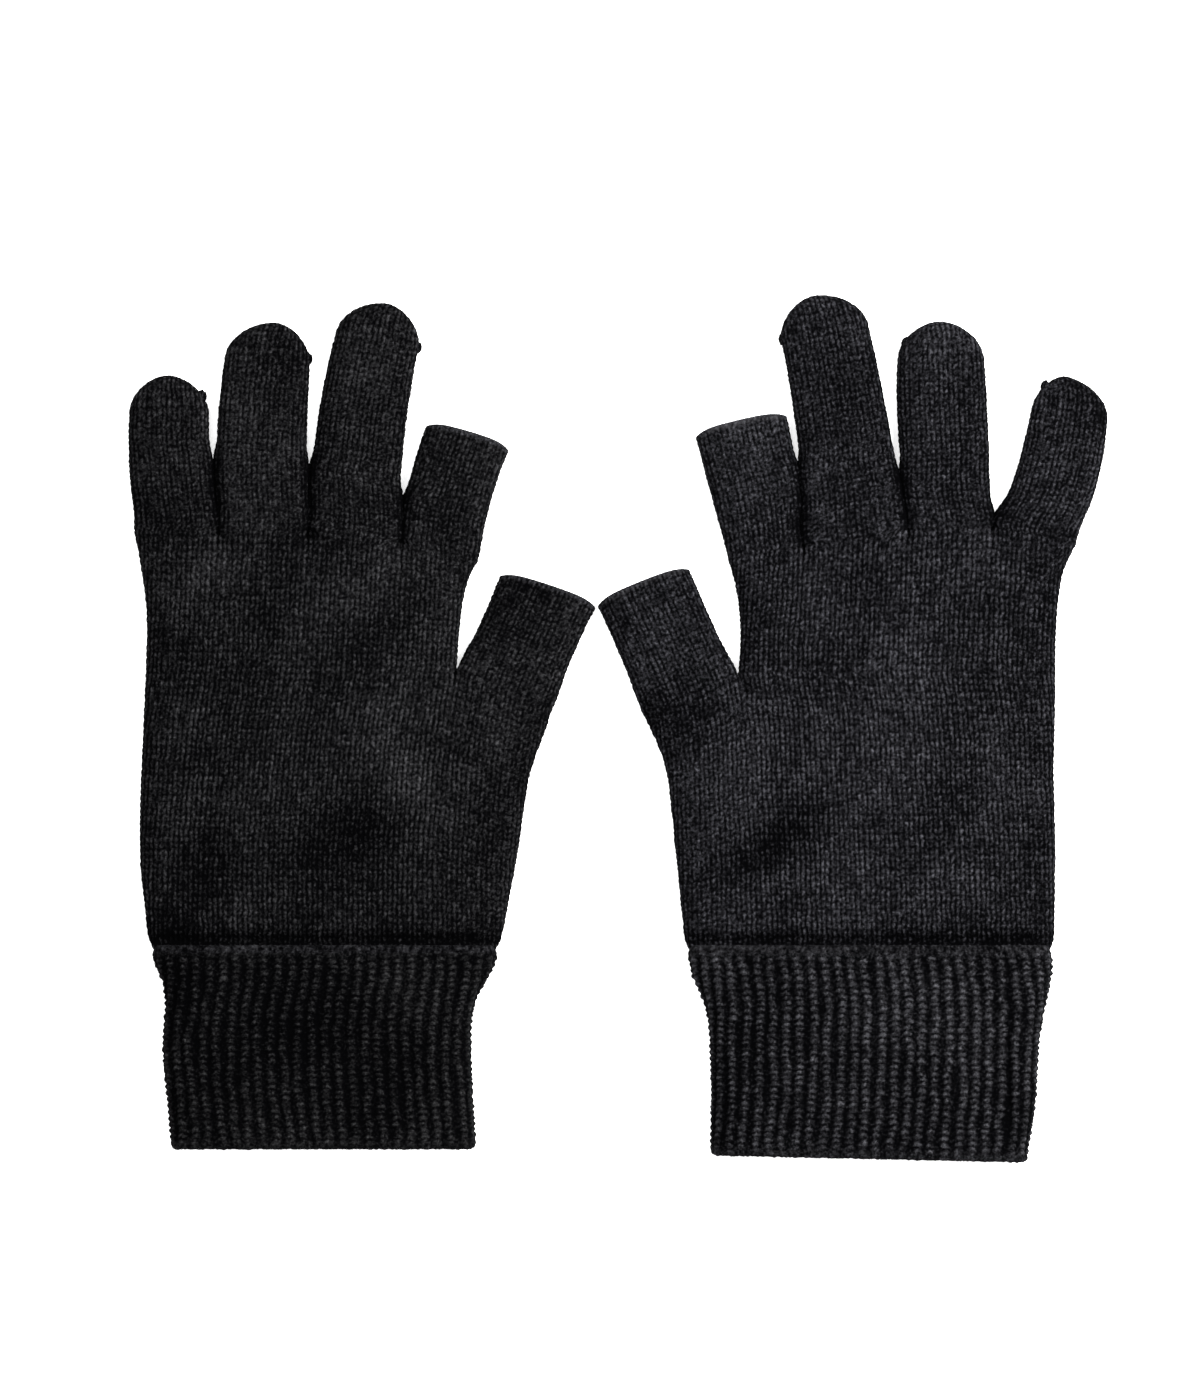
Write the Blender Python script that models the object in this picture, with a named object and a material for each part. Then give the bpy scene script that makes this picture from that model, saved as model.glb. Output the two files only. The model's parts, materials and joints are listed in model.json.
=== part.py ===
"""A pair of black machine-knitted gloves with turned-back rib cuffs, lying flat side by side, palms up.

The middle, ring and little fingers are whole. The index finger and the thumb stop half way in a
finished open rim. Each glove is a set of hollow knitted tubes: the hand, five finger tubes hinged on
the palm's surface along their roots, and a rib cuff of two layers, the outer one folded back over
the wrist. Dimensions are millimetres in the pair's frame: X across, Y towards the fingertips, Z up.
"""

import math

import bmesh
import bpy
from mathutils import Vector

MM = 0.001
GAP = 0.3  # left between pieces that touch

# Layers
WALL = 1.7  # one layer of the plain knit
TUBE_HEIGHT = 8.0  # a hand or finger tube lying relaxed
TUBE_EDGE = 3.2  # rounding of a finger tube's long edges
HAND_EDGE = 2.4
RIB_WALL = 1.9  # one layer of the rib
CUFF_WALL = 2.0  # the turned-back layer
CUFF_HEIGHT = 13.0
CUFF_EDGE = 4.4
WRIST_LIFT = CUFF_WALL + GAP  # the folded cuff holds the wrist this far off the surface below
EDGE_SHRINK = 0.8  # loss of edge rounding for each millimetre inside an outer surface
MOST_ROUNDING = 0.98  # of a section's half width or half height

# Finger tubes
TIP_DEPTH = 11.0  # length of a closed tip's rounding
TIP_POWER = 1.8
TIP_TURN = 86.0  # degrees of the tip's arc that are built, before its flat end
TIP_LEAST_WIDTH = 0.12  # the flat end's share of the finger's width
TIP_LEAST_HEIGHT = 0.3
RIM_LENGTH = 3.0
RIM_WALL = 2.1
FINGER_STATIONS = 7
TIP_STATIONS = 4
KNOT_RADIUS = 1.2
GUSSET_WIDTH = 4.0
GUSSET_LENGTH = 3.0
GUSSET_TAPER = 0.5
GUSSET_EDGE = 0.8

# Cuffs
CUFF_TOP = -62.8  # the turned-back layer's free edge
OVERLOCK_LENGTH = 1.8
RIB_TOP = -75.0  # where the rib is knitted on to the plain hand
TUCK_GAP = 0.6  # between the hand's sides and the folded cuff round them
FOLD_DEPTH = 3.0
FOLD_CORNER = 2.6
FOLD_FLATNESS = 0.6  # how far the fold's corner closes in height, for each millimetre in plan
MOUTH_EDGE = 1.2
ELASTIC_ROWS = (-84.0, -97.0, -110.0)
CUFF_PITCH = 6.0  # the cuff's layers bend only at these rows, so that they nest
ELASTIC_WIDTH = 1.2
ELASTIC_DEPTH = 0.7
GROOVE_OUTSET = 1.0  # how far a groove's cutter stands out of the rib
ROW_CLEARANCE = 0.5  # least step between a cuff row and the stretch's ends
LIFT_START = -40.0  # the palm is flat on the surface above this, and rises towards the cuff below it
LIFT_END = -61.0
LIFT_STEPS = 5

CORNER_STEPS = 3  # facets of one rounded corner
OUTLINE_STEPS = 2  # points of the hand's outline for each one given
CUT_OVERSHOOT = 1.0

GLOVES = {
    "left": {
        # Crotches of the four fingers, from the little finger's outer side to the index finger's
        "crotches": ((-140.6, 57.3), (-116.4, 58.1), (-90.0, 57.3), (-63.2, 54.1), (-40.3, 48.8)),
        "fingers": ("little_finger", "ring_finger", "middle_finger", "index_half_finger"),
        # End point, widths at the root, the middle and the end, sideways bow, slope of the end in degrees
        "little_finger": ((-129.8, 102.9), (23.4, 23.8, 22.8), -1.2, 0.0),
        "ring_finger": ((-100.5, 118.3), (25.6, 26.4, 24.0), -1.4, -2.0),
        "middle_finger": ((-67.0, 123.8), (26.2, 25.8, 24.3), -2.4, -9.0),
        "index_half_finger": ((-43.6, 84.7), (22.8, 24.6, 25.2), -1.2, -16.8),
        "thumb_half_finger": ((-20.2, 40.1), (29.6, 28.6, 29.4), 0.0, -18.4),
        "thumb_root": ((-46.7, 17.7), (-18.8, 5.5)),
        # Sides of the hand as (x, y), from the finger roots down to the cuff
        "little_side": ((-140.6, 57.3), (-138.5, 46.2), (-136.8, 31.0), (-137.6, 8.4), (-138.8, -20.0),
                        (-138.9, -40.0), (-136.6, -56.0)),
        "index_side": ((-40.3, 48.8), (-43.6, 43.0), (-45.7, 31.0), (-46.7, 17.7)),
        "thumb_side": ((-18.8, 5.5), (-21.7, -3.2), (-25.6, -14.0), (-28.2, -32.0), (-31.3, -49.7),
                       (-33.0, -56.0)),
        # Sides of the folded cuff as (y, x)
        "cuff_low_x": ((-62.8, -135.9), (-67.2, -135.5), (-73.0, -132.6), (-79.5, -131.5),
                       (-90.4, -132.6), (-107.8, -131.2), (-122.4, -129.8)),
        "cuff_high_x": ((-62.8, -34.3), (-67.2, -34.8), (-73.0, -37.5), (-79.5, -41.4),
                        (-90.4, -42.3), (-107.8, -41.7), (-122.4, -40.7)),
        "fold": (-122.4, -122.4),
        "knots": (("little_finger", 1.0, 0.86), ("ring_finger", 1.0, 0.83), ("middle_finger", 1.0, 0.84)),
    },
    "right": {
        "crotches": ((32.1, 48.8), (53.9, 52.9), (84.4, 57.6), (109.2, 58.7), (133.6, 53.5)),
        "fingers": ("index_half_finger", "middle_finger", "ring_finger", "little_finger"),
        "index_half_finger": ((35.9, 88.1), (21.4, 25.8, 27.4), 0.5, 13.2),
        "middle_finger": ((57.7, 126.2), (29.6, 27.0, 25.4), 1.5, 9.5),
        "ring_finger": ((93.8, 118.6), (24.2, 26.6, 24.6), -0.7, 2.8),
        "little_finger": ((132.1, 102.3), (24.0, 23.8, 21.4), 2.5, -11.0),
        "thumb_half_finger": ((7.5, 41.2), (29.4, 28.6, 28.8), 0.0, 21.6),
        "thumb_root": ((7.4, 3.8), (35.0, 16.3)),
        "little_side": ((133.6, 53.5), (129.6, 46.0), (127.6, 30.0), (127.4, 8.4), (126.9, -14.0),
                        (127.5, -36.0), (126.6, -56.0)),
        "index_side": ((32.1, 48.8), (34.2, 42.0), (35.8, 29.0), (35.0, 16.3)),
        "thumb_side": ((7.4, 3.8), (10.9, -3.2), (14.3, -13.0), (16.4, -32.3), (18.0, -47.0),
                       (19.2, -56.0)),
        "cuff_low_x": ((-62.8, 19.9), (-67.2, 20.2), (-73.0, 21.8), (-79.5, 25.1),
                       (-89.0, 26.4), (-107.8, 26.9), (-126.2, 26.8)),
        "cuff_high_x": ((-62.8, 126.3), (-67.2, 126.7), (-73.0, 126.5), (-79.5, 124.9),
                        (-89.0, 122.9), (-107.8, 121.9), (-126.2, 118.4)),
        "fold": (-124.1, -126.2),
        "knots": (("little_finger", -1.0, 0.9), ("ring_finger", -1.0, 0.9), ("middle_finger", -1.0, 0.85)),
    },
}


def material(name, colour, roughness):
    """An opaque, non-metallic Principled material."""
    made = bpy.data.materials.new(name)
    made.use_nodes = True
    shader = made.node_tree.nodes["Principled BSDF"]
    shader.inputs["Base Color"].default_value = (*colour, 1.0)
    shader.inputs["Roughness"].default_value = roughness
    shader.inputs["Metallic"].default_value = 0.0
    return made


def hermite(table, value):
    """Smooth curve through (place, height) pairs, read at one place and level past its ends."""
    rows = sorted(table)
    if value <= rows[0][0]:
        return rows[0][1]
    if value >= rows[-1][0]:
        return rows[-1][1]
    k = max(i for i, row in enumerate(rows[:-1]) if row[0] <= value)

    def slope(i):
        before, after = rows[max(i - 1, 0)], rows[min(i + 1, len(rows) - 1)]
        return (after[1] - before[1]) / (after[0] - before[0])

    (x0, y0), (x1, y1) = rows[k], rows[k + 1]
    span = x1 - x0
    t = (value - x0) / span
    return (
        y0 * (1 + 2 * t) * (1 - t) ** 2
        + span * slope(k) * t * (1 - t) ** 2
        + y1 * t * t * (3 - 2 * t)
        + span * slope(k + 1) * t * t * (t - 1)
    )


def smooth_path(points, steps):
    """Points along a Catmull-Rom curve through the given ones, both ends kept."""
    points = [Vector(p) for p in points]
    padded = [2 * points[0] - points[1], *points, 2 * points[-1] - points[-2]]
    path = []
    for a, b, c, d in zip(padded, padded[1:], padded[2:], padded[3:]):
        for k in range(steps):
            t = k / steps
            path.append(
                0.5 * (2 * b + (c - a) * t + (2 * a - 5 * b + 4 * c - d) * t**2
                       + (3 * b - a - 3 * c + d) * t**3)
            )
    return [*path, points[-1]]


def rounded_section(half_width, half_height, radius):
    """(across, up) points of a rounded rectangle about its centre, anticlockwise."""
    radius = min(radius, half_width * MOST_ROUNDING, half_height * MOST_ROUNDING)
    loop = []
    for quarter, (sx, sz) in enumerate(((1, -1), (1, 1), (-1, 1), (-1, -1))):
        for step in range(CORNER_STEPS + 1):
            angle = math.radians(90 * (quarter - 1 + step / CORNER_STEPS))
            loop.append((
                sx * (half_width - radius) + radius * math.cos(angle),
                sz * (half_height - radius) + radius * math.sin(angle),
            ))
    return loop


def new_object(name, bm, finish):
    """An object made of the bmesh, in metres, smooth over its rounded stretches."""
    bmesh.ops.recalc_face_normals(bm, faces=bm.faces)
    bmesh.ops.scale(bm, vec=(MM, MM, MM), verts=bm.verts)
    mesh = bpy.data.meshes.new(name)
    bm.to_mesh(mesh)
    bm.free()
    mesh.materials.append(finish)
    mesh.shade_smooth()
    mesh.set_sharp_from_angle(angle=math.radians(40))
    made = bpy.data.objects.new(name, mesh)
    bpy.context.scene.collection.objects.link(made)
    return made


def skin(bm, sections):
    """Rings of vertices at the sections, joined by quads."""
    rings = [[bm.verts.new(p) for p in section] for section in sections]
    for a, b in zip(rings, rings[1:]):
        for i in range(len(a)):
            j = (i + 1) % len(a)
            bm.faces.new((a[i], a[j], b[j], b[i]))
    return rings


def join_rings(bm, a, b):
    """A flat collar between two rings that lie one inside the other."""
    for i in range(len(a)):
        j = (i + 1) % len(a)
        bm.faces.new((a[i], a[j], b[j], b[i]))


def tube(name, outer, inner, closed_end, finish):
    """A hollow tube from outer and inner sections, open at its start and, unless closed, at its end."""
    bm = bmesh.new()
    outside, inside = skin(bm, outer), skin(bm, inner)
    join_rings(bm, outside[0], inside[0])
    if closed_end:
        bm.faces.new(outside[-1])
        bm.faces.new(inside[-1])
    else:
        join_rings(bm, outside[-1], inside[-1])
    return new_object(name, bm, finish)


def hide_cutter(made):
    made.hide_render = True
    made.display_type = "WIRE"


def cut(target, cutter):
    """Takes the cutter out of the target."""
    hide_cutter(cutter)
    boolean = target.modifiers.new("Cut " + cutter.name, "BOOLEAN")
    boolean.operation = "DIFFERENCE"
    boolean.solver = "EXACT"
    boolean.object = cutter


# Fingers


class Finger:
    """The centre line and widths of one finger tube, read from its glove's dimensions."""

    def __init__(self, glove, name):
        if name == "thumb_half_finger":
            a, b = glove["thumb_root"]
        else:
            k = glove["fingers"].index(name)
            a, b = glove["crotches"][k : k + 2]
        end, widths, bow, slope = glove[name]
        self.name = name
        self.root_low, self.root_high = Vector(a), Vector(b)
        self.root_across = (self.root_high - self.root_low).normalized()
        self.outward = Vector((-self.root_across.y, self.root_across.x))
        self.root = (self.root_low + self.root_high) / 2 + self.outward * GAP
        self.end = Vector(end)
        self.widths = tuple(zip((0.0, 0.5, 1.0), widths))
        self.bow = bow
        self.end_across = Vector((math.cos(math.radians(slope)), math.sin(math.radians(slope))))
        self.length = (self.end - self.root).length

    def centre(self, share):
        """Centre line at a share of the length; outside 0..1 it runs on straight."""
        bent = max(0.0, share * (1 - share)) * 4 * self.bow
        return self.root.lerp(self.end, share) + self.root_across * bent

    def across(self, share):
        return self.root_across.lerp(self.end_across, max(0.0, share)).normalized()

    def half_width(self, share):
        return hermite(self.widths, share) / 2

    def section(self, share, shrink, half_width_share=1.0, height_share=1.0):
        """One cross-section as 3D points, inside the outer surface by shrink."""
        half_width = (self.half_width(share) - shrink) * half_width_share
        half_height = (TUBE_HEIGHT / 2 - shrink) * height_share
        middle, side = self.centre(share), self.across(share)
        return [
            (*(middle + side * x), TUBE_HEIGHT / 2 + z)
            for x, z in rounded_section(half_width, half_height, TUBE_EDGE - shrink * EDGE_SHRINK)
        ]

    def tube_sections(self, shrink, start, end):
        """Sections of an open stretch of the tube."""
        shares = [start + (end - start) * k / (FINGER_STATIONS - 1) for k in range(FINGER_STATIONS)]
        return [self.section(share, shrink) for share in shares]

    def closed_sections(self, shrink, start):
        """Sections from the root to a rounded, closed tip."""
        tip = 1 - shrink / self.length
        turn = tip - (TIP_DEPTH - shrink) / self.length
        sections = self.tube_sections(shrink, start, turn)
        for k in range(1, TIP_STATIONS + 1):
            angle = math.radians(TIP_TURN) * k / TIP_STATIONS
            share = turn + (tip - turn) * math.sin(angle)
            narrow = (1 - math.sin(angle) ** TIP_POWER) ** (1 / TIP_POWER)
            width, height = max(narrow, TIP_LEAST_WIDTH), max(narrow**0.5, TIP_LEAST_HEIGHT)
            sections.append(self.section(share, shrink, width, height))
        return sections


def closed_finger(side, finger, finish):
    name = f"{side}_{finger.name}"
    return tube(name, finger.closed_sections(0.0, 0.0), finger.closed_sections(WALL, 0.0), True, finish)


def half_finger(side, finger, finish, rim_finish):
    """The open tube of a half finger, and the finished rim at its end."""
    stop = 1 - RIM_LENGTH / finger.length
    open_tube = tube(
        f"{side}_{finger.name}",
        finger.tube_sections(0.0, 0.0, stop - GAP / finger.length),
        finger.tube_sections(WALL, 0.0, stop - GAP / finger.length),
        False,
        finish,
    )
    rim_name = f"{side}_{finger.name.split('_')[0]}_rim"
    shares = (stop, (stop + 1) / 2, 1)
    rim = tube(
        rim_name,
        [finger.section(share, 0.0) for share in shares],
        [finger.section(share, RIM_WALL) for share in shares],
        False,
        rim_finish,
    )
    return open_tube, rim


def tip_knot(side, finger, flank, share, finish):
    """The knotted yarn tail beside a closed fingertip."""
    turn = 1 - TIP_DEPTH / finger.length
    along = max(0.0, (share - turn) / (1 - turn))
    narrow = (1 - along**TIP_POWER) ** (1 / TIP_POWER)
    reach = finger.half_width(share) * narrow + KNOT_RADIUS + GAP
    place = finger.centre(share) + finger.across(share) * flank * reach
    bm = bmesh.new()
    bmesh.ops.create_icosphere(bm, subdivisions=1, radius=KNOT_RADIUS)
    bmesh.ops.translate(bm, vec=(*place, TUBE_HEIGHT / 2), verts=bm.verts)
    return new_object(f"{side}_{finger.name}_yarn_knot", bm, finish)


# Hand


def tucked_side(glove, table, inward):
    """The hand's side inside the folded cuff, from the cuff's free edge down to the rib."""
    inset = (CUFF_WALL + TUCK_GAP) * inward
    return [Vector((cuff_side(glove[table], y) + inset, y)) for y in cuff_rows(CUFF_TOP + GAP, RIB_TOP)]


def hand_stretches(glove):
    """The hand's outline as (points, is it open) stretches, anticlockwise from the wrist."""
    low_thumb = glove["thumb_side"][0][0] < glove["little_side"][0][0]
    low_tuck = tucked_side(glove, "cuff_low_x", 1)
    high_tuck = tucked_side(glove, "cuff_high_x", -1)
    little = smooth_path(glove["little_side"], OUTLINE_STEPS) + (high_tuck if low_thumb else low_tuck)
    index = smooth_path(glove["index_side"], OUTLINE_STEPS)
    thumb = smooth_path(glove["thumb_side"], OUTLINE_STEPS) + (low_tuck if low_thumb else high_tuck)
    crotches = [Vector(p) for p in glove["crotches"]]
    thumb_root = [Vector(p) for p in glove["thumb_root"]]
    if low_thumb:
        return [
            ([thumb[-1], little[-1]], True),
            (little[::-1], False),
            (crotches[::-1], True),
            (index, False),
            (thumb_root[::-1], True),
            (thumb, False),
        ]
    return [
        ([little[-1], thumb[-1]], True),
        (thumb[::-1], False),
        (thumb_root[::-1], True),
        (index[::-1], False),
        (crotches[::-1], True),
        (little, False),
    ]


def offset_outline(corners, moves):
    """The outline with each side moved outward by its own amount; corners anticlockwise."""
    count = len(corners)
    lines = []
    for i in range(count):
        a, b = corners[i], corners[(i + 1) % count]
        along = (b - a).normalized()
        outward = Vector((along.y, -along.x))
        lines.append((a + outward * moves[i], along))
    moved = []
    for i in range(count):
        (p, u), (q, v) = lines[i - 1], lines[i]
        turn = u.x * v.y - u.y * v.x
        if abs(turn) < 1e-4:
            moved.append(q)
            continue
        gap = q - p
        moved.append(p + u * ((gap.x * v.y - gap.y * v.x) / turn))
    return moved


def slab(corners, open_sides, low, high, radius):
    """A flat plate over an outline, its long edges rounded except along the open sides."""
    levels = []
    for k in range(CORNER_STEPS + 1 if radius else 1):
        angle = math.radians(90 * k / CORNER_STEPS)
        levels.append((radius * (1 - math.sin(angle)), radius * (1 - math.cos(angle))))
    levels += [(inset, high - low - z) for inset, z in reversed(levels)]
    sections = []
    for inset, z in levels:
        outline = offset_outline(corners, [0.0 if is_open else -inset for is_open in open_sides])
        sections.append([(p.x, p.y, low + z) for p in outline])
    bm = bmesh.new()
    rings = skin(bm, sections)
    bm.faces.new(rings[0])
    bm.faces.new(rings[-1])
    return bm


def lift_wrist(bm):
    """Raises the wrist end on to the folded cuff's lower layer, in a smooth ramp."""
    step = (LIFT_END - LIFT_START) / LIFT_STEPS
    for k in range(LIFT_STEPS + 1):
        geometry = [*bm.verts, *bm.edges, *bm.faces]
        bmesh.ops.bisect_plane(
            bm, geom=geometry, dist=1e-4, plane_co=(0, LIFT_START + step * k, 0), plane_no=(0, 1, 0)
        )
    for vertex in bm.verts:
        t = min(1.0, max(0.0, (vertex.co.y - LIFT_START) / (LIFT_END - LIFT_START)))
        vertex.co.z += WRIST_LIFT * t * t * (3 - 2 * t)


def hand(side, glove, finish):
    """The hand tube, open at the wrist, at the thumb's root and along the finger roots."""
    corners, open_sides = [], []
    for points, is_open in hand_stretches(glove):
        corners += points[:-1]
        open_sides += [is_open] * (len(points) - 1)
    bm = slab(corners, open_sides, 0.0, TUBE_HEIGHT, HAND_EDGE)
    lift_wrist(bm)
    made = new_object(f"{side}_hand", bm, finish)
    inside = offset_outline(corners, [CUT_OVERSHOOT if is_open else -WALL for is_open in open_sides])
    cavity = slab(inside, open_sides, WALL, TUBE_HEIGHT - WALL, 0.0)
    lift_wrist(cavity)
    cut(made, new_object(f"{side}_hand_cavity", cavity, finish))
    return made


def crotch_gusset(name, crotch, inward, finish):
    """The few linked stitches that close the gap between two tubes, palm side to back."""
    half_height = TUBE_HEIGHT / 2 - WALL - GAP
    across = Vector((-inward.y, inward.x))
    sections = []
    for reach in (GAP, GUSSET_LENGTH):
        middle = crotch + inward * reach
        taper = 1.0 if reach == GAP else GUSSET_TAPER
        sections.append([
            (*(middle + across * x), TUBE_HEIGHT / 2 + z)
            for x, z in rounded_section(GUSSET_WIDTH / 2 * taper, half_height, GUSSET_EDGE)
        ])
    bm = bmesh.new()
    rings = skin(bm, sections)
    bm.faces.new(rings[0])
    bm.faces.new(rings[-1])
    return new_object(name, bm, finish)


def gussets(side, glove, finish):
    """Gussets at the three crotches between the fingers."""
    made = []
    crotches = [Vector(p) for p in glove["crotches"]]
    for k in range(1, 4):
        before = (crotches[k] - crotches[k - 1]).normalized()
        after = (crotches[k + 1] - crotches[k]).normalized()
        along = (before + after).normalized()
        pair = "_".join(name.split("_")[0] for name in glove["fingers"][k - 1 : k + 1])
        made.append(crotch_gusset(f"{side}_{pair}_gusset", crotches[k], Vector((along.y, -along.x)), finish))
    return made


# Cuff


def cuff_side(table, y):
    """The cuff's side at y, straight between rows a pitch apart."""
    row = math.floor(y / CUFF_PITCH)
    below, above = hermite(table, row * CUFF_PITCH), hermite(table, (row + 1) * CUFF_PITCH)
    return below + (above - below) * (y / CUFF_PITCH - row)


def cuff_rows(start, end):
    """Rows from start down to end, with each row of the pitch between them."""
    first, last = math.floor(start / CUFF_PITCH), math.ceil(end / CUFF_PITCH)
    between = [k * CUFF_PITCH for k in range(first, last - 1, -1)]
    return [start, *(y for y in between if end + ROW_CLEARANCE < y < start - ROW_CLEARANCE), end]


def cuff_sides(glove, y, shrink):
    """Both sides at y, inside the outer surface by shrink.

    What lies under the turned-back layer is no wider than any row above it, so that the layer slides
    off over it.
    """
    rows = cuff_rows(CUFF_TOP, y) if shrink > CUFF_WALL else [y]
    left = max(cuff_side(glove["cuff_low_x"], row) for row in rows)
    right = min(cuff_side(glove["cuff_high_x"], row) for row in rows)
    return left + shrink, right - shrink


def cuff_section(glove, y, drop, low, high, radius, shrink):
    """The folded cuff's cross-section at y, inside its outer surface by shrink, with its ends at drop."""
    left, right = cuff_sides(glove, y, shrink)
    middle, half_width = (left + right) / 2, (right - left) / 2
    section = rounded_section(half_width, (high - low) / 2, radius)
    return [
        (middle + x, y + drop * x / half_width, (low + high) / 2 + z)
        for x, z in section
    ]


def cuff_sections(glove, rows, low, high, radius, shrink):
    """Sections at the rows, turning from level rows at the top to the fold's slope at the bottom."""
    fold_low, fold_high = glove["fold"]
    slope = (fold_high - fold_low) / 2
    deepest = (fold_low + fold_high) / 2
    return [
        cuff_section(glove, y, slope * max(0, RIB_TOP - y) / (RIB_TOP - deepest), low, high, radius, shrink)
        for y in rows
    ]


def nested_sections(glove, rows, shrink):
    """Sections inside the cuff's outer surface by shrink, their edges rounded to nest in it."""
    radius = CUFF_EDGE - shrink * EDGE_SHRINK
    return cuff_sections(glove, rows, shrink, CUFF_HEIGHT - shrink, radius, shrink)


def turned_back_cuff(side, glove, finish):
    """The outer layer with the fold at its bottom, which leaves the mouth open."""
    bottom = sum(glove["fold"]) / 2
    rows = cuff_rows(CUFF_TOP - OVERLOCK_LENGTH - GAP, bottom + FOLD_CORNER)
    outer = nested_sections(glove, rows, 0.0)
    for k in (1, 2):
        turn = math.radians(45 * k)
        inset = FOLD_CORNER * (1 - math.cos(turn))
        y = bottom + FOLD_CORNER * (1 - math.sin(turn))
        low = inset * FOLD_FLATNESS
        outer += cuff_sections(glove, [y], low, CUFF_HEIGHT - low, CUFF_EDGE, inset)
    pocket_rows = cuff_rows(CUFF_TOP - OVERLOCK_LENGTH - GAP, bottom + FOLD_DEPTH)
    pocket = nested_sections(glove, pocket_rows, CUFF_WALL)
    mouth_wall = CUFF_WALL + GAP + RIB_WALL
    mouth = cuff_sections(
        glove, [bottom + FOLD_DEPTH, bottom], mouth_wall, CUFF_HEIGHT - mouth_wall, MOUTH_EDGE, mouth_wall
    )
    return tube(f"{side}_cuff_turnback", outer, [*pocket, *mouth], False, finish)


def overlock_edge(side, glove, finish):
    """The overlocked free edge of the turned-back layer."""
    rows = (CUFF_TOP, CUFF_TOP - OVERLOCK_LENGTH)
    outer, inner = nested_sections(glove, rows, 0.0), nested_sections(glove, rows, CUFF_WALL)
    return tube(f"{side}_cuff_overlock_edge", outer, inner, False, finish)


def rib_layer(side, glove, finish):
    """The inner layer of the rib, from the hand down to the fold, grooved for its elastic threads."""
    skin_depth = CUFF_WALL + GAP
    rows = cuff_rows(RIB_TOP - GAP, sum(glove["fold"]) / 2 + FOLD_DEPTH + GAP)
    outer = nested_sections(glove, rows, skin_depth)
    inner_depth = skin_depth + RIB_WALL
    inner = cuff_sections(glove, rows, inner_depth, CUFF_HEIGHT - inner_depth, MOUTH_EDGE, inner_depth)
    layer = tube(f"{side}_cuff_inner_layer", outer, inner, False, finish)
    for number, row in enumerate(ELASTIC_ROWS, 1):
        groove = elastic_band(
            f"{side}_elastic_groove_{number}", glove, row, ELASTIC_WIDTH + 2 * GAP, GROOVE_OUTSET,
            ELASTIC_DEPTH + GAP, finish,
        )
        cut(layer, groove)
    return layer


def elastic_band(name, glove, row, width, outset, depth, finish):
    """A band round the rib layer, from outset outside its surface to depth inside it."""
    skin_depth = CUFF_WALL + GAP
    rows = (row + width / 2, row - width / 2)
    outer = nested_sections(glove, rows, skin_depth - outset)
    return tube(name, outer, nested_sections(glove, rows, skin_depth + depth), False, finish)


def elastic_threads(side, glove, finish):
    return [
        elastic_band(f"{side}_elastic_thread_{n}", glove, row, ELASTIC_WIDTH, 0.0, ELASTIC_DEPTH, finish)
        for n, row in enumerate(ELASTIC_ROWS, 1)
    ]


# Assembly


def hang(pieces, name, place):
    """Parents the pieces to an empty on their joint's axis, without moving them."""
    pivot = bpy.data.objects.new(name, None)
    pivot.empty_display_size = 0.01
    pivot.location = Vector(place) * MM
    bpy.context.scene.collection.objects.link(pivot)
    for piece in pieces:
        piece.parent = pivot
        piece.matrix_parent_inverse.identity()
        piece.location = -pivot.location
    return pivot


def build_glove(side, glove, finishes):
    hand(side, glove, finishes["plain"])
    gussets(side, glove, finishes["seam"])
    for name in (*glove["fingers"], "thumb_half_finger"):
        finger = Finger(glove, name)
        if "half" in name:
            pieces = list(half_finger(side, finger, finishes["plain"], finishes["seam"]))
        else:
            pieces = [closed_finger(side, finger, finishes["plain"])]
            pieces += [
                tip_knot(side, finger, flank, share, finishes["seam"])
                for owner, flank, share in glove["knots"] if owner == name
            ]
        root = (finger.root_low + finger.root_high) / 2
        hang(pieces, f"{side}_{name}_hinge", (*root, TUBE_HEIGHT))
    rib_layer(side, glove, finishes["rib"])
    elastic_threads(side, glove, finishes["elastic"])
    cuff = [turned_back_cuff(side, glove, finishes["rib"]), overlock_edge(side, glove, finishes["seam"])]
    middle = (glove["cuff_low_x"][0][1] + glove["cuff_high_x"][0][1]) / 2
    hang(cuff, f"{side}_cuff_slide", (middle, CUFF_TOP, CUFF_HEIGHT / 2))


def main():
    for old in list(bpy.data.objects):
        bpy.data.objects.remove(old)
    finishes = {
        "plain": material("black plain knit", (0.014, 0.014, 0.016), 0.9),
        "rib": material("black rib knit", (0.012, 0.012, 0.014), 0.9),
        "seam": material("black linking yarn", (0.010, 0.010, 0.011), 0.85),
        "elastic": material("black elastic thread", (0.020, 0.020, 0.020), 0.7),
    }
    for side, glove in GLOVES.items():
        build_glove(side, glove, finishes)


main()
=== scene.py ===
"""Looks of a pair of black machine-knitted gloves with turned-back rib cuffs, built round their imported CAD.

Each glove's cloth is one welded grid. The palm and the back of the hand are rows of stitches that turn
from level at the wrist to parallel with the finger roots, and each finger tube carries on from the
last row. Every wale and course is real relief in the grid. The cuffs are rib grids of their own.
All outlines come from the CAD nodes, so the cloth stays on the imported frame. Lengths are millimetres
until the meshes are made.
"""

import json
import math

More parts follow.
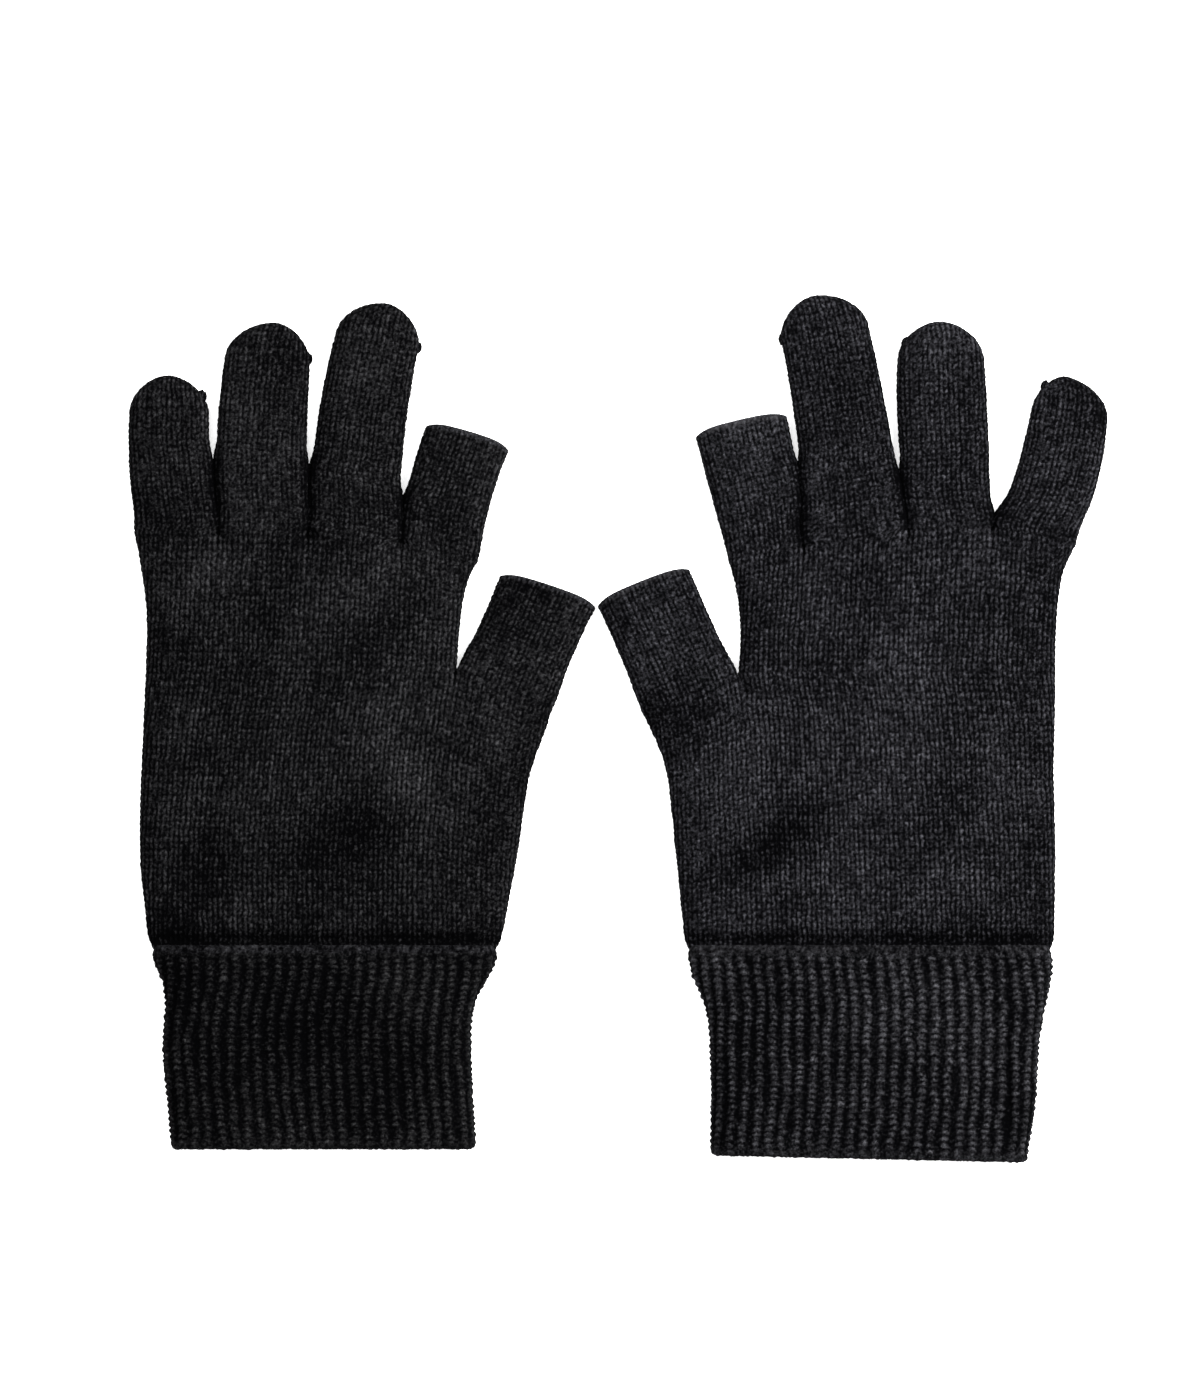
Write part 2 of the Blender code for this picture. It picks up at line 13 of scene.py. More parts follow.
import bpy
import numpy as np
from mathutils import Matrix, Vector


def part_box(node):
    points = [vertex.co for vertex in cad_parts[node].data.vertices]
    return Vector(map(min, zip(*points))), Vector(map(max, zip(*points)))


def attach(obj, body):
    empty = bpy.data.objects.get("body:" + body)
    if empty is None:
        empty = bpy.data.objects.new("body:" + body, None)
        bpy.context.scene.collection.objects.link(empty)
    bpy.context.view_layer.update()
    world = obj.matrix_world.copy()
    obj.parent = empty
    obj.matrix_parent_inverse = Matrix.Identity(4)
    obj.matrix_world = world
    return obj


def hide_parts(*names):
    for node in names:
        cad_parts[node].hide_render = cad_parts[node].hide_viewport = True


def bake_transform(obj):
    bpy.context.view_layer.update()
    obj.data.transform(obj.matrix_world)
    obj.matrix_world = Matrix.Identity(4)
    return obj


MM = 0.001
SIDES = ("left", "right")
FINGERS = ("little", "ring", "middle", "index")
DIGITS = (*FINGERS, "thumb")
OPEN_ENDED = ("index", "thumb")

# Stitches
WALE = 2.9
COURSE = 1.98
FINGER_COURSE = 1.77
RIB = 3.93  # one rib of two stitch legs and its valley
RIB_COURSE = 1.83
WALE_POINTS = 7  # grid points across one wale
COURSE_POINTS = 4
RIB_POINTS = 10
FINGER_WIDTH = 26.0  # of a finger's part of the palm, which sets the grid's columns

# Cloth
HEIGHT = 8.0  # a tube lying relaxed
SKIN = 0.1  # the cloth's middle lies this far inside its outline
EDGE = 7.5  # how far in from a side the cloth takes to turn level
LEVEL_SHARE = 0.38  # of a narrow tube's width, at most, for that turn
ARC_SHARE = 1.2  # length of that turn's arc, of its width
PALM_RELIEF = 0.55
FINGER_RELIEF = 0.5
RELIEF_LEVEL = 0.7  # the stitch height that lies on the outline
LEAST_HEIGHT = 0.02  # over the table
CREASE_LENGTH = 9.0  # how far a crotch's crease runs down the palm
THUMB_CREASE = 15.0
CREASE_POWER = 2.2
WALL = 1.7  # thickness of one layer
PAINTED_SHADE_AND_LIGHT_PER_MM = 0.13  # painted shade for each millimetre down in a fold or in the dip over the cuff's free edge, and painted light for each millimetre up on a swell, added to the relief that colours the yarn
SMOOTHING = 6  # rows over which the CAD's facets are evened out

# Palm
PALM_BOTTOM = -74.5  # inside the cuff
NECK_TOP, NECK_LENGTH = -40.0, 21.0  # the palm rises over this stretch, on to the cuff's inner layer
PALM_MEETS_CUFF = -42.0  # from this height down, the palm's sides run straight to the cuff's
PALM_OUTSET = 0.6  # how far the palm stands past the cuff's sides where they meet
TUCK_DEPTH = 2.0  # how far the palm dips along the free edge
TUCK_WIDTH = 2.6
TUCK_ABOVE = 1.0  # how far over the free edge the dip is deepest

# Fingers
TIP_CUTS = 0.55, 0.8  # shares of a closed finger's length, whose middles give its tip's direction
OUTLINE_CUTS = 9  # that a finger's two sides are fitted to
TIP_DEPTH = 11.0  # length of the rounded tip
TIP_POWER = 1.8  # of the curve that rounds it: 2 is an ellipse, and 1 a point
TIP_LAST_SHARE = 0.999  # of the length, where the last row is
TIP_LEAST_WIDTH = 0.1
RIM_BULGE = 0.5  # how far an open end's middle stands out
RIM_CORNER = 1.3  # how far its two corners are drawn back
RIM_REACH = 0.6  # how far all of it stands past the CAD's
RIM_START, CORNER_START = 11.0, 5.0  # before the end, where its curve and its corners set in
RIM_ROLL = 0.8  # how far the rolled edge stands out
RIM_DEPTH = 14.0  # how far the cloth is built inside an open end
RIM_CORD = 4.5  # half width of the bound-off cord, in rows
INSIDE_RELIEF = 0.35  # of the relief outside
SIDE_SETTLE = 8.0  # from a root, how far the wales take to wrap round a tube's side
ROOT_SETTLE = 14.0  # from a root, how far a finger takes to reach its own outline
PRESS = 1.5  # how far a finger's side spreads towards the neighbour it lies against
PRESS_START = 1.5  # from the root, over which the spread sets in
PRESS_FADE = 9.0  # over which it ends
PRESS_WIDTH = 2.4  # of the strip of painted shade at each touching side
PRESS_SHADE = 0.45  # relief taken off in the crease between two fingers, as painted shade
# Height above each crotch to which neighbours touch: little-ring, ring-middle, middle-index
TOUCH = {"left": (21.0, 20.0, 14.0), "right": (4.0, 17.0, 23.0)}
# How far each closed tip leans towards the thumb, of its half width
TIP_LEAN = {
    "left": {"little": 0.0, "ring": 0.16, "middle": 0.12},
    "right": {"little": 0.32, "ring": 0.0, "middle": 0.12},
}
KNOT_SINK = 2.3  # how far a knot is drawn in to its fingertip
KNOT_LARGER = 1.15  # than the CAD's
KNOT_LONGER = 1.3  # along the finger than across

# Cuff
CUFF_HEIGHT = 13.0
CUFF_SKIN = 0.15
CUFF_EDGE = 8.0
EDGE_SHRINK = 0.6  # for each millimetre inside, how much sooner a face turns level
CUFF_WALL = 2.0
CUFF_RELIEF = 0.95
EDGE_RELIEF = 0.25
OVERLOCK_RELIEF = 0.4
RELIEF_RISE = 2.5  # over which the ribs' relief rises from the free edge's
CUFF_COLUMNS = 30
CUFF_CUT = 2.5  # below the free edge, where the palm reads the cuff's sides
FOLD_ENDS = 30.0  # from the middle outward, where the fold line's slant is read
SIDE_CUTS = 60
LINING_BOTTOM = -116.0
LINING_GAP = 1.3  # between the lining's last row and the free edge
ROWS_PAST_FOLD = 6
PAST_FOLD_RELIEF = CUFF_RELIEF * 0.6
TILT_TOP, TILT_LENGTH = -75.0, 45.0  # the fold line's slant fades out above it, over this stretch
FOLD_RADIUS = 2.1
EDGE_ROUND = 1.0
BAND = 3.0  # over which the ribs fade in from the free edge, and out towards the fold
BAND_START = 1.5
FOLD_RIBS = 0.35  # how clear the ribs stay at the fold
CORNER_LENGTH = 4.0  # at the free edge's two ends
CORNER_INSET = 1.8
INNER_GAP = 2.3  # from the outer layer's outline to the inner layer's
INNER_FACES = 0.35, 1.8  # under the inner layer's own outline, outside and inside
INNER_RELIEF = 0.5
ELASTIC_INSIDE = 2.35  # under the outer layer's outline, level with the inner layer's own surface
ELASTIC_WIDTH, ELASTIC_DEPTH = 1.2, 0.7
ELASTIC_STEPS, ELASTIC_SIDES = 60, 12

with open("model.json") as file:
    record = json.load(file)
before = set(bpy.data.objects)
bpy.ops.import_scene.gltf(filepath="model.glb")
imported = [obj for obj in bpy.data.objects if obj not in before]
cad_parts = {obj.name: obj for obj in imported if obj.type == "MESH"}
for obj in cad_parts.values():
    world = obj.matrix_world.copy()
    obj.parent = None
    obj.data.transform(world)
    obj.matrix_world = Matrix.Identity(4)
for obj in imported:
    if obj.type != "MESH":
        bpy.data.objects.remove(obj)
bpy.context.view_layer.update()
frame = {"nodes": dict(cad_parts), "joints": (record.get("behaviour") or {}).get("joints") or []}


# CAD outlines


def cad_edges(side, *names):
    """Both ends of each edge of some of a glove's CAD nodes, in the left glove's layout."""
    found = []
    for name in names:
        mesh = frame["nodes"][f"{side}_{name}"].data
        places = np.empty(len(mesh.vertices) * 3)
        mesh.vertices.foreach_get("co", places)
        ends = np.empty(len(mesh.edges) * 2, int)
        mesh.edges.foreach_get("vertices", ends)
        found.append(places.reshape(-1, 3)[ends.reshape(-1, 2)] / MM)
    edges = np.concatenate(found)
    if side == "right":
        edges[:, :, 0] *= -1
    return edges


def turned(direction):
    """A direction in plan, a quarter turn to the left."""
    return np.array((-direction[1], direction[0]))


def unit(vector):
    return vector / np.linalg.norm(vector)


def reach(edges, origin, across):
    """How far the CAD runs along a line in plan through origin, as its two ends' distances."""
    beyond = (edges[:, :, :2] - origin) @ turned(across)
    crossing = (beyond[:, 0] * beyond[:, 1] <= 0) & (beyond[:, 0] != beyond[:, 1])
    if not crossing.any():
        return math.nan, math.nan
    share = beyond[crossing, 0] / (beyond[crossing, 0] - beyond[crossing, 1])
    a, b = edges[crossing, 0, :2], edges[crossing, 1, :2]
    along = (a + (b - a) * share[:, None] - origin) @ np.array(across)
    return along.min(), along.max()


def level_reach(edges, y):
    """How far the CAD runs along the level line at y."""
    return reach(edges, np.array((0.0, y)), (1.0, 0.0))


def hinge(side, finger):
    """The middle and the direction in plan of a finger's root line, in the left glove's layout."""
    found = next(j for j in frame["joints"] if j["name"] == f"{side}_{finger}_bend")
    place, axis = np.array(found["pos_m"][:2]) / MM, np.array(found["axis"][:2])
    if side == "right":
        place[0] *= -1
        axis[1] *= -1
    return place, unit(axis)


def root_chain(side):
    """The ends of the four finger-root lines, which share the crotches between them."""
    rows, values = [], []
    for k, finger in enumerate(FINGERS):
        place, axis = hinge(side, finger)
        for c in (0, 1):
            row = np.zeros(10)
            row[2 * k + c] = row[2 * k + 2 + c] = 0.5
            rows.append(row)
            values.append(place[c])
        row = np.zeros(10)
        row[2 * k : 2 * k + 4] = axis[1], -axis[0], -axis[1], axis[0]
        rows.append(row)
        values.append(0.0)
    return np.linalg.lstsq(np.array(rows), np.array(values), rcond=None)[0].reshape(5, 2)


def smoothed(values, width):
    """Values along rows, averaged over a Gaussian of this many rows, both ends kept."""
    count = int(3 * width)
    before = 2 * values[0] - values[count:0:-1]
    after = 2 * values[-1] - values[-2 : -count - 2 : -1]
    weights = np.exp(-0.5 * (np.arange(-count, count + 1) / width) ** 2)
    return np.convolve(np.concatenate([before, values, after]), weights / weights.sum(), "valid")


# Shapes


def lerp(a, b, t):
    """The value at share t of the way from a to b."""
    return a + (b - a) * t


def ease(t):
    """0 to 1 with level ends, and held past them."""
    t = np.clip(t, 0, 1)
    return t * t * (3 - 2 * t)


def noise(x, y, seed):
    """Smooth value noise, -1 to 1."""

    def corner(i, j):
        mixed = np.sin(i * 127.1 + j * 311.7 + seed * 74.7) * 43758.5453
        return 2 * (mixed - np.floor(mixed)) - 1

    i, j = np.floor(x), np.floor(y)
    u, v = ease(x - i), ease(y - j)
    low = lerp(corner(i, j), corner(i + 1, j), u)
    return lerp(low, lerp(corner(i, j + 1), corner(i + 1, j + 1), u), v)


def cross(tau, width, low, high, edge=EDGE):
    """(distance across, share of the half height) at tau 0 to 1 across a stretch of cloth.

    low and high say how far each end turns down: 1 at a tube's side, 0 where the cloth runs on level.
    """
    edge = min(edge, LEVEL_SHARE * width)
    arc = edge * ARC_SHARE
    near = np.minimum(tau, 1 - tau) * 2
    run = near * (arc + width / 2 - edge)
    turn = np.minimum(run / arc, 1) * math.pi / 2
    distance = edge * (1 - np.cos(turn)) + np.maximum(run - arc, 0)
    rounded = np.where(tau < 0.5, low, high)
    distance = lerp(near * width / 2, distance, rounded)
    level = lerp(1.0, np.sin(turn), rounded)
    return np.where(tau < 0.5, distance, width - distance), level


def arc_from_middle(row):
    """The distance along a row of points, counted from its middle point."""
    arc = np.concatenate([[0], np.cumsum(np.linalg.norm(np.diff(row, axis=0), axis=1))])
    return arc - arc[(len(arc) - 1) // 2]


# Stitch relief: s counts wales or ribs across the cloth, and t counts courses along it


def plain_relief(s, t, seed):
    """Plain knit's height, 0 to 1: two leaning legs of yarn in each stitch, unevenly pulled."""
    s = s + 0.09 * noise(s * 0.9, t * 0.7, seed) + 0.05 * noise(s * 3.1, t * 2.3, seed + 2)
    t = t + 0.25 * noise(s * 1.1, t * 0.5, seed + 5)
    m = 2 * np.abs(s - np.floor(s) - 0.5)
    leg = 1 - (2 * m - 1) ** 2
    lobe = np.sin(math.pi * ((t - 0.5 * m) % 1))
    uneven = 0.74 + 0.26 * noise(np.floor(2 * s) * 1.7, np.floor(t) * 1.3, seed + 9)
    return uneven * leg**0.8 * (0.42 + 0.58 * lobe**0.8)


def rib_relief(s, t, seed):
    """Rib's height, 0 to 1: rows of bead-like stitches with low valleys between them, which the yarn's colour
    darkens as painted shade.
    """
    rib = np.floor(s)
    s = s + 0.1 * noise(rib * 1.3, t * 0.16, seed) + 0.12 * noise(rib * 2.3, t * 0.8, seed + 3)
    m = 2 * np.abs(s - np.floor(s) - 0.5)
    body = np.exp(-((m / 0.74) ** 3))
    t = t + 0.4 * noise(np.floor(s) * 1.5, t * 0.4, seed + 5)
    lobe = np.sin(math.pi * ((t - 0.35 * m) % 1))
    uneven = 0.68 + 0.32 * noise(np.floor(2 * s) * 1.9, np.floor(t) * 1.7, seed + 7)
    knit = body * (0.22 + 0.78 * uneven * (0.12 + 0.88 * lobe**1.2))
    purl = 0.52 * uneven * np.exp(-(((1 - m) / 0.24) ** 2)) * np.sin(math.pi * ((t + 0.5) % 1)) ** 1.5
    return np.maximum(knit, purl)


def speckle(s, t, seed):
    """Overlocked or folded rib's height, 0 to 1: stitches drawn together with no clear columns."""
    return 0.5 + 0.3 * noise(s * 7, t * 1.9, seed) + 0.15 * noise(s * 13, t * 3.7, seed + 1)


# Cloth grids


class Cloth:
    """Welded grids of cloth that are later told apart as pieces."""

    def __init__(self, flip):
        self.flip = flip
        self.places, self.relief, self.depth = [], [], []
        self.count = 0
        self.faces, self.corners, self.piece = [], [], []

    def points(self, places, relief, depth):
        """Adds points, with relief 0 to 1 and how far it stands out. Returns the points' numbers."""
        shape = places.shape[:-1]
        size = int(np.prod(shape))
        self.places.append(places.reshape(-1, 3))
        self.relief.append(np.broadcast_to(relief, shape).reshape(-1))
        self.depth.append(np.broadcast_to(depth, shape).reshape(-1))
        numbers = np.arange(self.count, self.count + size).reshape(shape)
        self.count += size
        return numbers

    def grid(self, numbers, s, t, piece, facing):
        """Faces over a grid of points; facing 1 turns them up where rows run away and columns right."""
        quads = np.stack([numbers[:-1, :-1], numbers[:-1, 1:], numbers[1:, 1:], numbers[1:, :-1]], -1)
        s, t = np.broadcast_to(s, numbers.shape), np.broadcast_to(t, numbers.shape)
        st = np.stack([s, t], -1)
        corners = np.stack([st[:-1, :-1], st[:-1, 1:], st[1:, 1:], st[1:, :-1]], 2)
        quads, corners = quads.reshape(-1, 4), corners.reshape(-1, 4, 2)
        if facing * self.flip < 0:
            quads, corners = quads[:, ::-1], corners[:, ::-1]
        self.faces.append(quads)
        self.corners.append(corners)
        self.piece += [(piece, len(quads))]

    def displaced(self, shapes):
        """Places with the relief and the soft shapes, in the frame's own layout, and the relief with painted
        shade in folds and painted light on swells.
        """
        places = np.concatenate(self.places)
        places[:, 0] *= self.flip
        faces = np.concatenate(self.faces)
        corners = [places[faces[:, k]] for k in range(4)]
        facing = np.cross(corners[2] - corners[0], corners[3] - corners[1])
        normals = np.zeros_like(places)
        for k in range(4):
            for c in range(3):
                normals[:, c] += np.bincount(faces[:, k], facing[:, c], len(places))
        normals /= np.maximum(np.linalg.norm(normals, axis=1, keepdims=True), 1e-9)
        relief, depth = np.concatenate(self.relief), np.concatenate(self.depth)
        up = np.clip(normals[:, 2], 0, 1)
        places = places + normals * ((relief - RELIEF_LEVEL) * depth)[:, None]
        lift = shapes(places[:, 0], places[:, 1]) * up
        places[:, 2] = np.maximum(places[:, 2] + lift, LEAST_HEIGHT)
        # Painted shade in the folds and in the dip over the cuff's free edge, painted light on the swells:
        # the relief that colours the yarn follows the lift
        return places, relief + PAINTED_SHADE_AND_LIGHT_PER_MM * lift

    def build(self, shapes, finishes):
        """An object for each piece, named as it is."""
        places, relief = self.displaced(shapes)
        owner = np.concatenate([[name] * count for name, count in self.piece])
        faces, corners = np.concatenate(self.faces), np.concatenate(self.corners)
        made = {}
        for name in dict.fromkeys(n for n, _ in self.piece):
            mine = owner == name
            used, numbers = np.unique(faces[mine], return_inverse=True)
            made[name] = mesh_object(
                name, places[used] * MM, numbers.reshape(-1, 4), corners[mine], relief[used], finishes(name)
            )
        return made


def mesh_object(name, places, faces, corners, relief, finish):
    """An object from quads, with its stitch coordinates and relief."""
    # A quad that is drawn to a line is left out, and one with a doubled corner becomes a triangle
    doubled = faces == np.roll(faces, -1, 1)
    shown = doubled.sum(1) < 2
    faces, corners, doubled = faces[shown], corners[shown], doubled[shown]
    whole = ~doubled.any(1)
    keep = ~doubled[~whole]
    loops = np.concatenate([faces[whole].reshape(-1), faces[~whole][keep]]).astype(np.int32)
    uv = np.concatenate([corners[whole].reshape(-1, 2), corners[~whole][keep]])
    sizes = np.concatenate([np.full(whole.sum(), 4), keep.sum(1)])
    mesh = bpy.data.meshes.new(name)
    mesh.vertices.add(len(places))
    mesh.vertices.foreach_set("co", places.astype(np.float32).reshape(-1))
    mesh.loops.add(len(loops))
    mesh.loops.foreach_set("vertex_index", loops)
    mesh.polygons.add(len(sizes))
    mesh.polygons.foreach_set("loop_start", np.concatenate([[0], np.cumsum(sizes)[:-1]]).astype(np.int32))
    mesh.polygons.foreach_set("use_smooth", np.ones(len(sizes), bool))
    mesh.update(calc_edges=True)
    mesh.uv_layers.new(name="stitch").data.foreach_set("uv", uv.astype(np.float32).reshape(-1))
    # The relief also sets the yarn's painted shade and painted light in the material
    mesh.attributes.new("relief", "FLOAT", "POINT").data.foreach_set("value", relief.astype(np.float32))
    mesh.validate()
    mesh.materials.append(finish)
    made = bpy.data.objects.new(name, mesh)
    bpy.context.scene.collection.objects.link(made)
    return made


class Glove:
    """One glove's hand and fingers, in the left glove's layout: little finger at low X, thumb at high X."""

    def __init__(self, side, seed):
        self.side, self.seed = side, seed
        self.cloth = Cloth(-1 if side == "right" else 1)
        self.hand = cad_edges(side, "hand")
        self.chain = root_chain(side)
        place, axis = hinge(side, "thumb")
        half = reach(self.hand, place - turned(axis) * 0.5, axis)[1]
        self.thumb_crotch, self.thumb_corner = place - axis * half, place + axis * half
        cuff = cad_edges(side, "cuff_turnback", "cuff_overlock_edge")
        self.cuff_top = cuff[:, :, 1].max()
        self.cuff_sides = level_reach(cuff, self.cuff_top - CUFF_CUT)
        self.columns = int(round(FINGER_WIDTH / WALE * WALE_POINTS))
        self.neck_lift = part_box(f"{side}_hand")[1][2] / MM - HEIGHT

    def middle_height(self, y):
        """The height of the cloth's middle, which rises where the palm runs into the cuff."""
        return HEIGHT / 2 + self.neck_lift * ease((NECK_TOP - y) / NECK_LENGTH)

    def palm(self):
        """Rows of the hand from the wrist up: (points between the fingers' parts, roundness at each).

        Rows below the thumb's crotch have five parts and those above it four.
        """
        crotch, corner = self.thumb_crotch, self.thumb_corner
        low_rows = int(round((crotch[1] - PALM_BOTTOM) / COURSE)) * COURSE_POINTS
        high_rows = int(round((self.chain[:, 1].mean() - crotch[1]) / COURSE)) * COURSE_POINTS
        shares = np.linspace(0, 1, low_rows + 1)
        left = self.outline(0, PALM_BOTTOM, crotch[1], shares)
        right = self.outline(1, PALM_BOTTOM, corner[1] - 0.3, shares)
        right[-1] = corner[0]
        widths = np.linalg.norm(np.diff(self.chain, axis=0), axis=1)
        parts = np.concatenate([[0], np.cumsum(widths) / widths.sum()])
        full = np.append(left[-1] + (crotch[0] - left[-1]) * parts, corner[0])
        fractions = (full - full[0]) / (full[-1] - full[0])
        rows = []
        for w, x0, x1 in zip(shares, left, right):
            y = lerp(PALM_BOTTOM, crotch[1], w)
            xs = x0 + (x1 - x0) * fractions
            ys = np.full(6, y)
            ys[5] = lerp(PALM_BOTTOM, corner[1], w)
            below = crotch[1] - y
            crease = max(0.0, 1 - below / THUMB_CREASE) ** CREASE_POWER
            rows.append((np.c_[xs, ys], [1, 0, 0, 0, crease, 1]))
        self.split = len(rows) - 1
        base = rows[-1][0][:5]
        shares = np.linspace(0, 1, high_rows + 1)
        low_side = self.outline(0, crotch[1], self.chain[0, 1] - 0.2, shares)
        high_side = self.outline(1, crotch[1] + 0.4, self.chain[4, 1] - 0.2, shares)
        high_side += (crotch[0] - high_side[0]) * (1 - ease(shares * 6))
        for w, x0, x1 in zip(shares[1:], low_side[1:], high_side[1:]):
            points = lerp(base, self.chain, w)
            points[0, 0], points[4, 0] = x0, x1
            ends = [1, 1, 1, 1, 1]
            for k in (1, 2, 3):
                below = self.chain[k, 1] - points[k, 1]
                ends[k] = max(0.0, 1 - below / CREASE_LENGTH) ** CREASE_POWER
            rows.append((points, ends))
        return rows

    def outline(self, which, start, end, shares):
        """The palm's low (0) or high (1) side over rows from start to end."""
        return smoothed(np.array([self.edge(y)[which] for y in lerp(start, end, shares)]), SMOOTHING)

    def edge(self, y):
        """The palm's two sides: the hand's own, drawn on to the cuff's towards its free edge."""
        own = np.array(level_reach(self.hand, y))
        if y > PALM_MEETS_CUFF or y < self.cuff_top - TUCK_DEPTH:
            return own
        start = np.array(level_reach(self.hand, PALM_MEETS_CUFF))
        end = np.array(self.cuff_sides) + (-PALM_OUTSET, PALM_OUTSET)
        return lerp(start, end, (PALM_MEETS_CUFF - y) / (PALM_MEETS_CUFF - self.cuff_top))

    def build_palm(self):
        """The palm and back grids. Keeps the last rows' numbers and stitch columns for the fingers."""
        rows = self.palm()
        part, split = self.columns, self.split
        tau = np.linspace(0, 1, part + 1)
        wide = 5 * part + 1
        xy = np.full((len(rows), wide, 2), np.nan)
        level = np.full((len(rows), wide), np.nan)
        for i, (points, ends) in enumerate(rows):
            count = len(points) - 1
            for k in range(count):
                a, b = points[k], points[k + 1]
                width = np.linalg.norm(b - a)
                distance, height = cross(tau, width, ends[k], ends[k + 1])
                xy[i, k * part : k * part + part + 1] = a + (b - a) * (distance / width)[:, None]
                level[i, k * part : k * part + part + 1] = height
        middle = self.middle_height(xy[..., 1])
        half = HEIGHT / 2 - SKIN
        front = np.concatenate([xy, (middle + half * level)[..., None]], -1)
        back = np.concatenate([xy, (middle - half * level)[..., None]], -1)

        # Stitch columns follow the real arc round the two sides, and plain distance across the creases
        plan_step = np.linalg.norm(np.diff(xy, axis=1), axis=2)
        arc_step = np.linalg.norm(np.diff(front, axis=1), axis=2)
        place = np.arange(wide - 1)[None, :]
        last = np.where(np.arange(len(rows)) <= split, 5 * part, 4 * part)[:, None]
        outer = (place < part / 2) | (place >= last - part / 2)
        along = np.cumsum(np.where(outer, arc_step, plan_step), axis=1)
        along = np.concatenate([np.zeros((len(rows), 1)), along], 1)
        s = (along - along[:, 2 * part : 2 * part + 1]) / WALE
        t = np.broadcast_to((np.arange(len(rows)) / COURSE_POINTS)[:, None], s.shape)
        s_back = 2 * s[:, :1] - s

        relief = plain_relief(np.nan_to_num(s), t, self.seed)
        relief_back = plain_relief(np.nan_to_num(s_back), t, self.seed + 1)
        cloth = self.cloth
        below_thumb, above_thumb = slice(0, split + 1), (slice(split + 1, None), slice(0, 4 * part + 1))
        fronts, backs = np.full((len(rows), wide), -1), np.full((len(rows), wide), -1)
        for numbers, places, heights in ((fronts, front, relief), (backs, back, relief_back)):
            for span in (below_thumb, above_thumb):
                numbers[span] = cloth.points(places[span], heights[span], PALM_RELIEF)
        backs[:, 0] = fronts[:, 0]
        backs[: split + 1, 5 * part] = fronts[: split + 1, 5 * part]
        backs[split:, 4 * part] = fronts[split:, 4 * part]
        for k in (1, 2, 3):
            backs[-1, k * part] = fronts[-1, k * part]
        from_thumb = slice(split, None), slice(0, 4 * part + 1)
        for numbers, columns, face, facing in ((fronts, s, "palm", 1), (backs, s_back, "back", -1)):
            for span in (below_thumb, from_thumb):
                cloth.grid(numbers[span], columns[span], t[span], f"{self.side}_{face}_cloth", facing)
        self.roots = {}
        for k, finger in enumerate(DIGITS):
            row = split if finger == "thumb" else len(rows) - 1
            own = row, slice(k * part, k * part + part + 1)
            ends = xy[own][[0, -1]]
            self.roots[finger] = fronts[own], backs[own], s[own], s_back[own], t[row, 0], ends

    def touching(self, finger):
        """How hard a finger's two sides press on the neighbours, 0 to 1, each as a function of height."""
        k = DIGITS.index(finger)
        heights = (0.0, *TOUCH[self.side], 0.0, 0.0)[k : k + 2]

        def press(height):
            fade = height - PRESS_FADE / 3

            def strength(travelled):
                if not height:
                    return 0.0
                return ease(travelled / PRESS_START) * (1 - ease((travelled - fade) / PRESS_FADE))

            return strength

        return [press(height) for height in heights]

    def finger_rows(self, finger):
        """Rows outward from the root, the tube's length and the direction across its end.

        A row is (middle, across, half width, share of the height, depth inside, how its sides press).
        """
        place, across = hinge(self.side, finger)
        outward = turned(across)
        if finger in OPEN_ENDED:
            edges = cad_edges(self.side, f"{finger}_half_finger", f"{finger}_rim")
            rim = cad_edges(self.side, f"{finger}_rim")[:, 0, :2]
            end_across = np.linalg.svd(rim - rim.mean(0), full_matrices=False)[2][0]
            end_across *= np.sign(end_across @ across)
            end_out = turned(end_across)
            centre = rim.mean(0)
            end = centre + end_out * ((rim - centre) @ end_out).max()
        else:
            edges = cad_edges(self.side, f"{finger}_finger")
            plan = edges[:, 0, :2]
            height = (plan - place) @ outward
            end = plan[height > height.max() - 0.3].mean(0)
            # The tip's direction, from the middles of two cuts near it
            cuts = []
            for share in TIP_CUTS:
                origin = lerp(place, end, share)
                cuts.append(origin + across * sum(reach(edges, origin, across)) / 2)
            end_across = -turned(unit(cuts[1] - cuts[0]))
        length = np.linalg.norm(end - place)
        straight = 1.0 if finger in OPEN_ENDED else 1 - TIP_DEPTH / length
        stops = np.linspace(0.04, straight - 0.03, OUTLINE_CUTS)
        spans = [reach(edges, lerp(place, end, k), unit(lerp(across, end_across, k))) for k in stops]
        fit_low, fit_high = (np.polyfit(stops, side, 3) for side in zip(*spans))
        count = int(round(length / FINGER_COURSE)) * COURSE_POINTS
        root = [(corner - place) @ across for corner in self.roots[finger][-1]]
        touching = self.touching(finger)
        rows = []
        for i in range(1, count + 1):
            share = i / count
            held = min(share, straight)
            low, high = np.polyval(fit_low, held), np.polyval(fit_high, held)
            settled = ease(share * length / ROOT_SETTLE)
            low, high = lerp(root[0], low, settled), lerp(root[1], high, settled)
            press = touching[0](share * length), touching[1](share * length)
            low, high = low - PRESS * press[0], high + PRESS * press[1]
            narrow = 1.0
            if share > straight:
                # Rows keep their pitch along the rounded tip's own surface
                turn = math.sin(math.pi / 2 * (share - straight) / (1 - straight))
                share = straight + (1 - straight) * min(turn, TIP_LAST_SHARE)
                narrow = (1 - turn**TIP_POWER) ** (1 / TIP_POWER) if turn < 1 else 0.0
            direction = unit(lerp(across, end_across, share))
            lean = TIP_LEAN[self.side].get(finger, 0.0) * (1 - narrow) * (high - low) / 2
            middle = lerp(place, end, share) + direction * ((low + high) / 2 + lean)
            half = (high - low) / 2 * max(narrow, TIP_LEAST_WIDTH)
            rows.append((middle, direction, half, narrow**0.5, 0.0, press))
        return rows, length, end_across

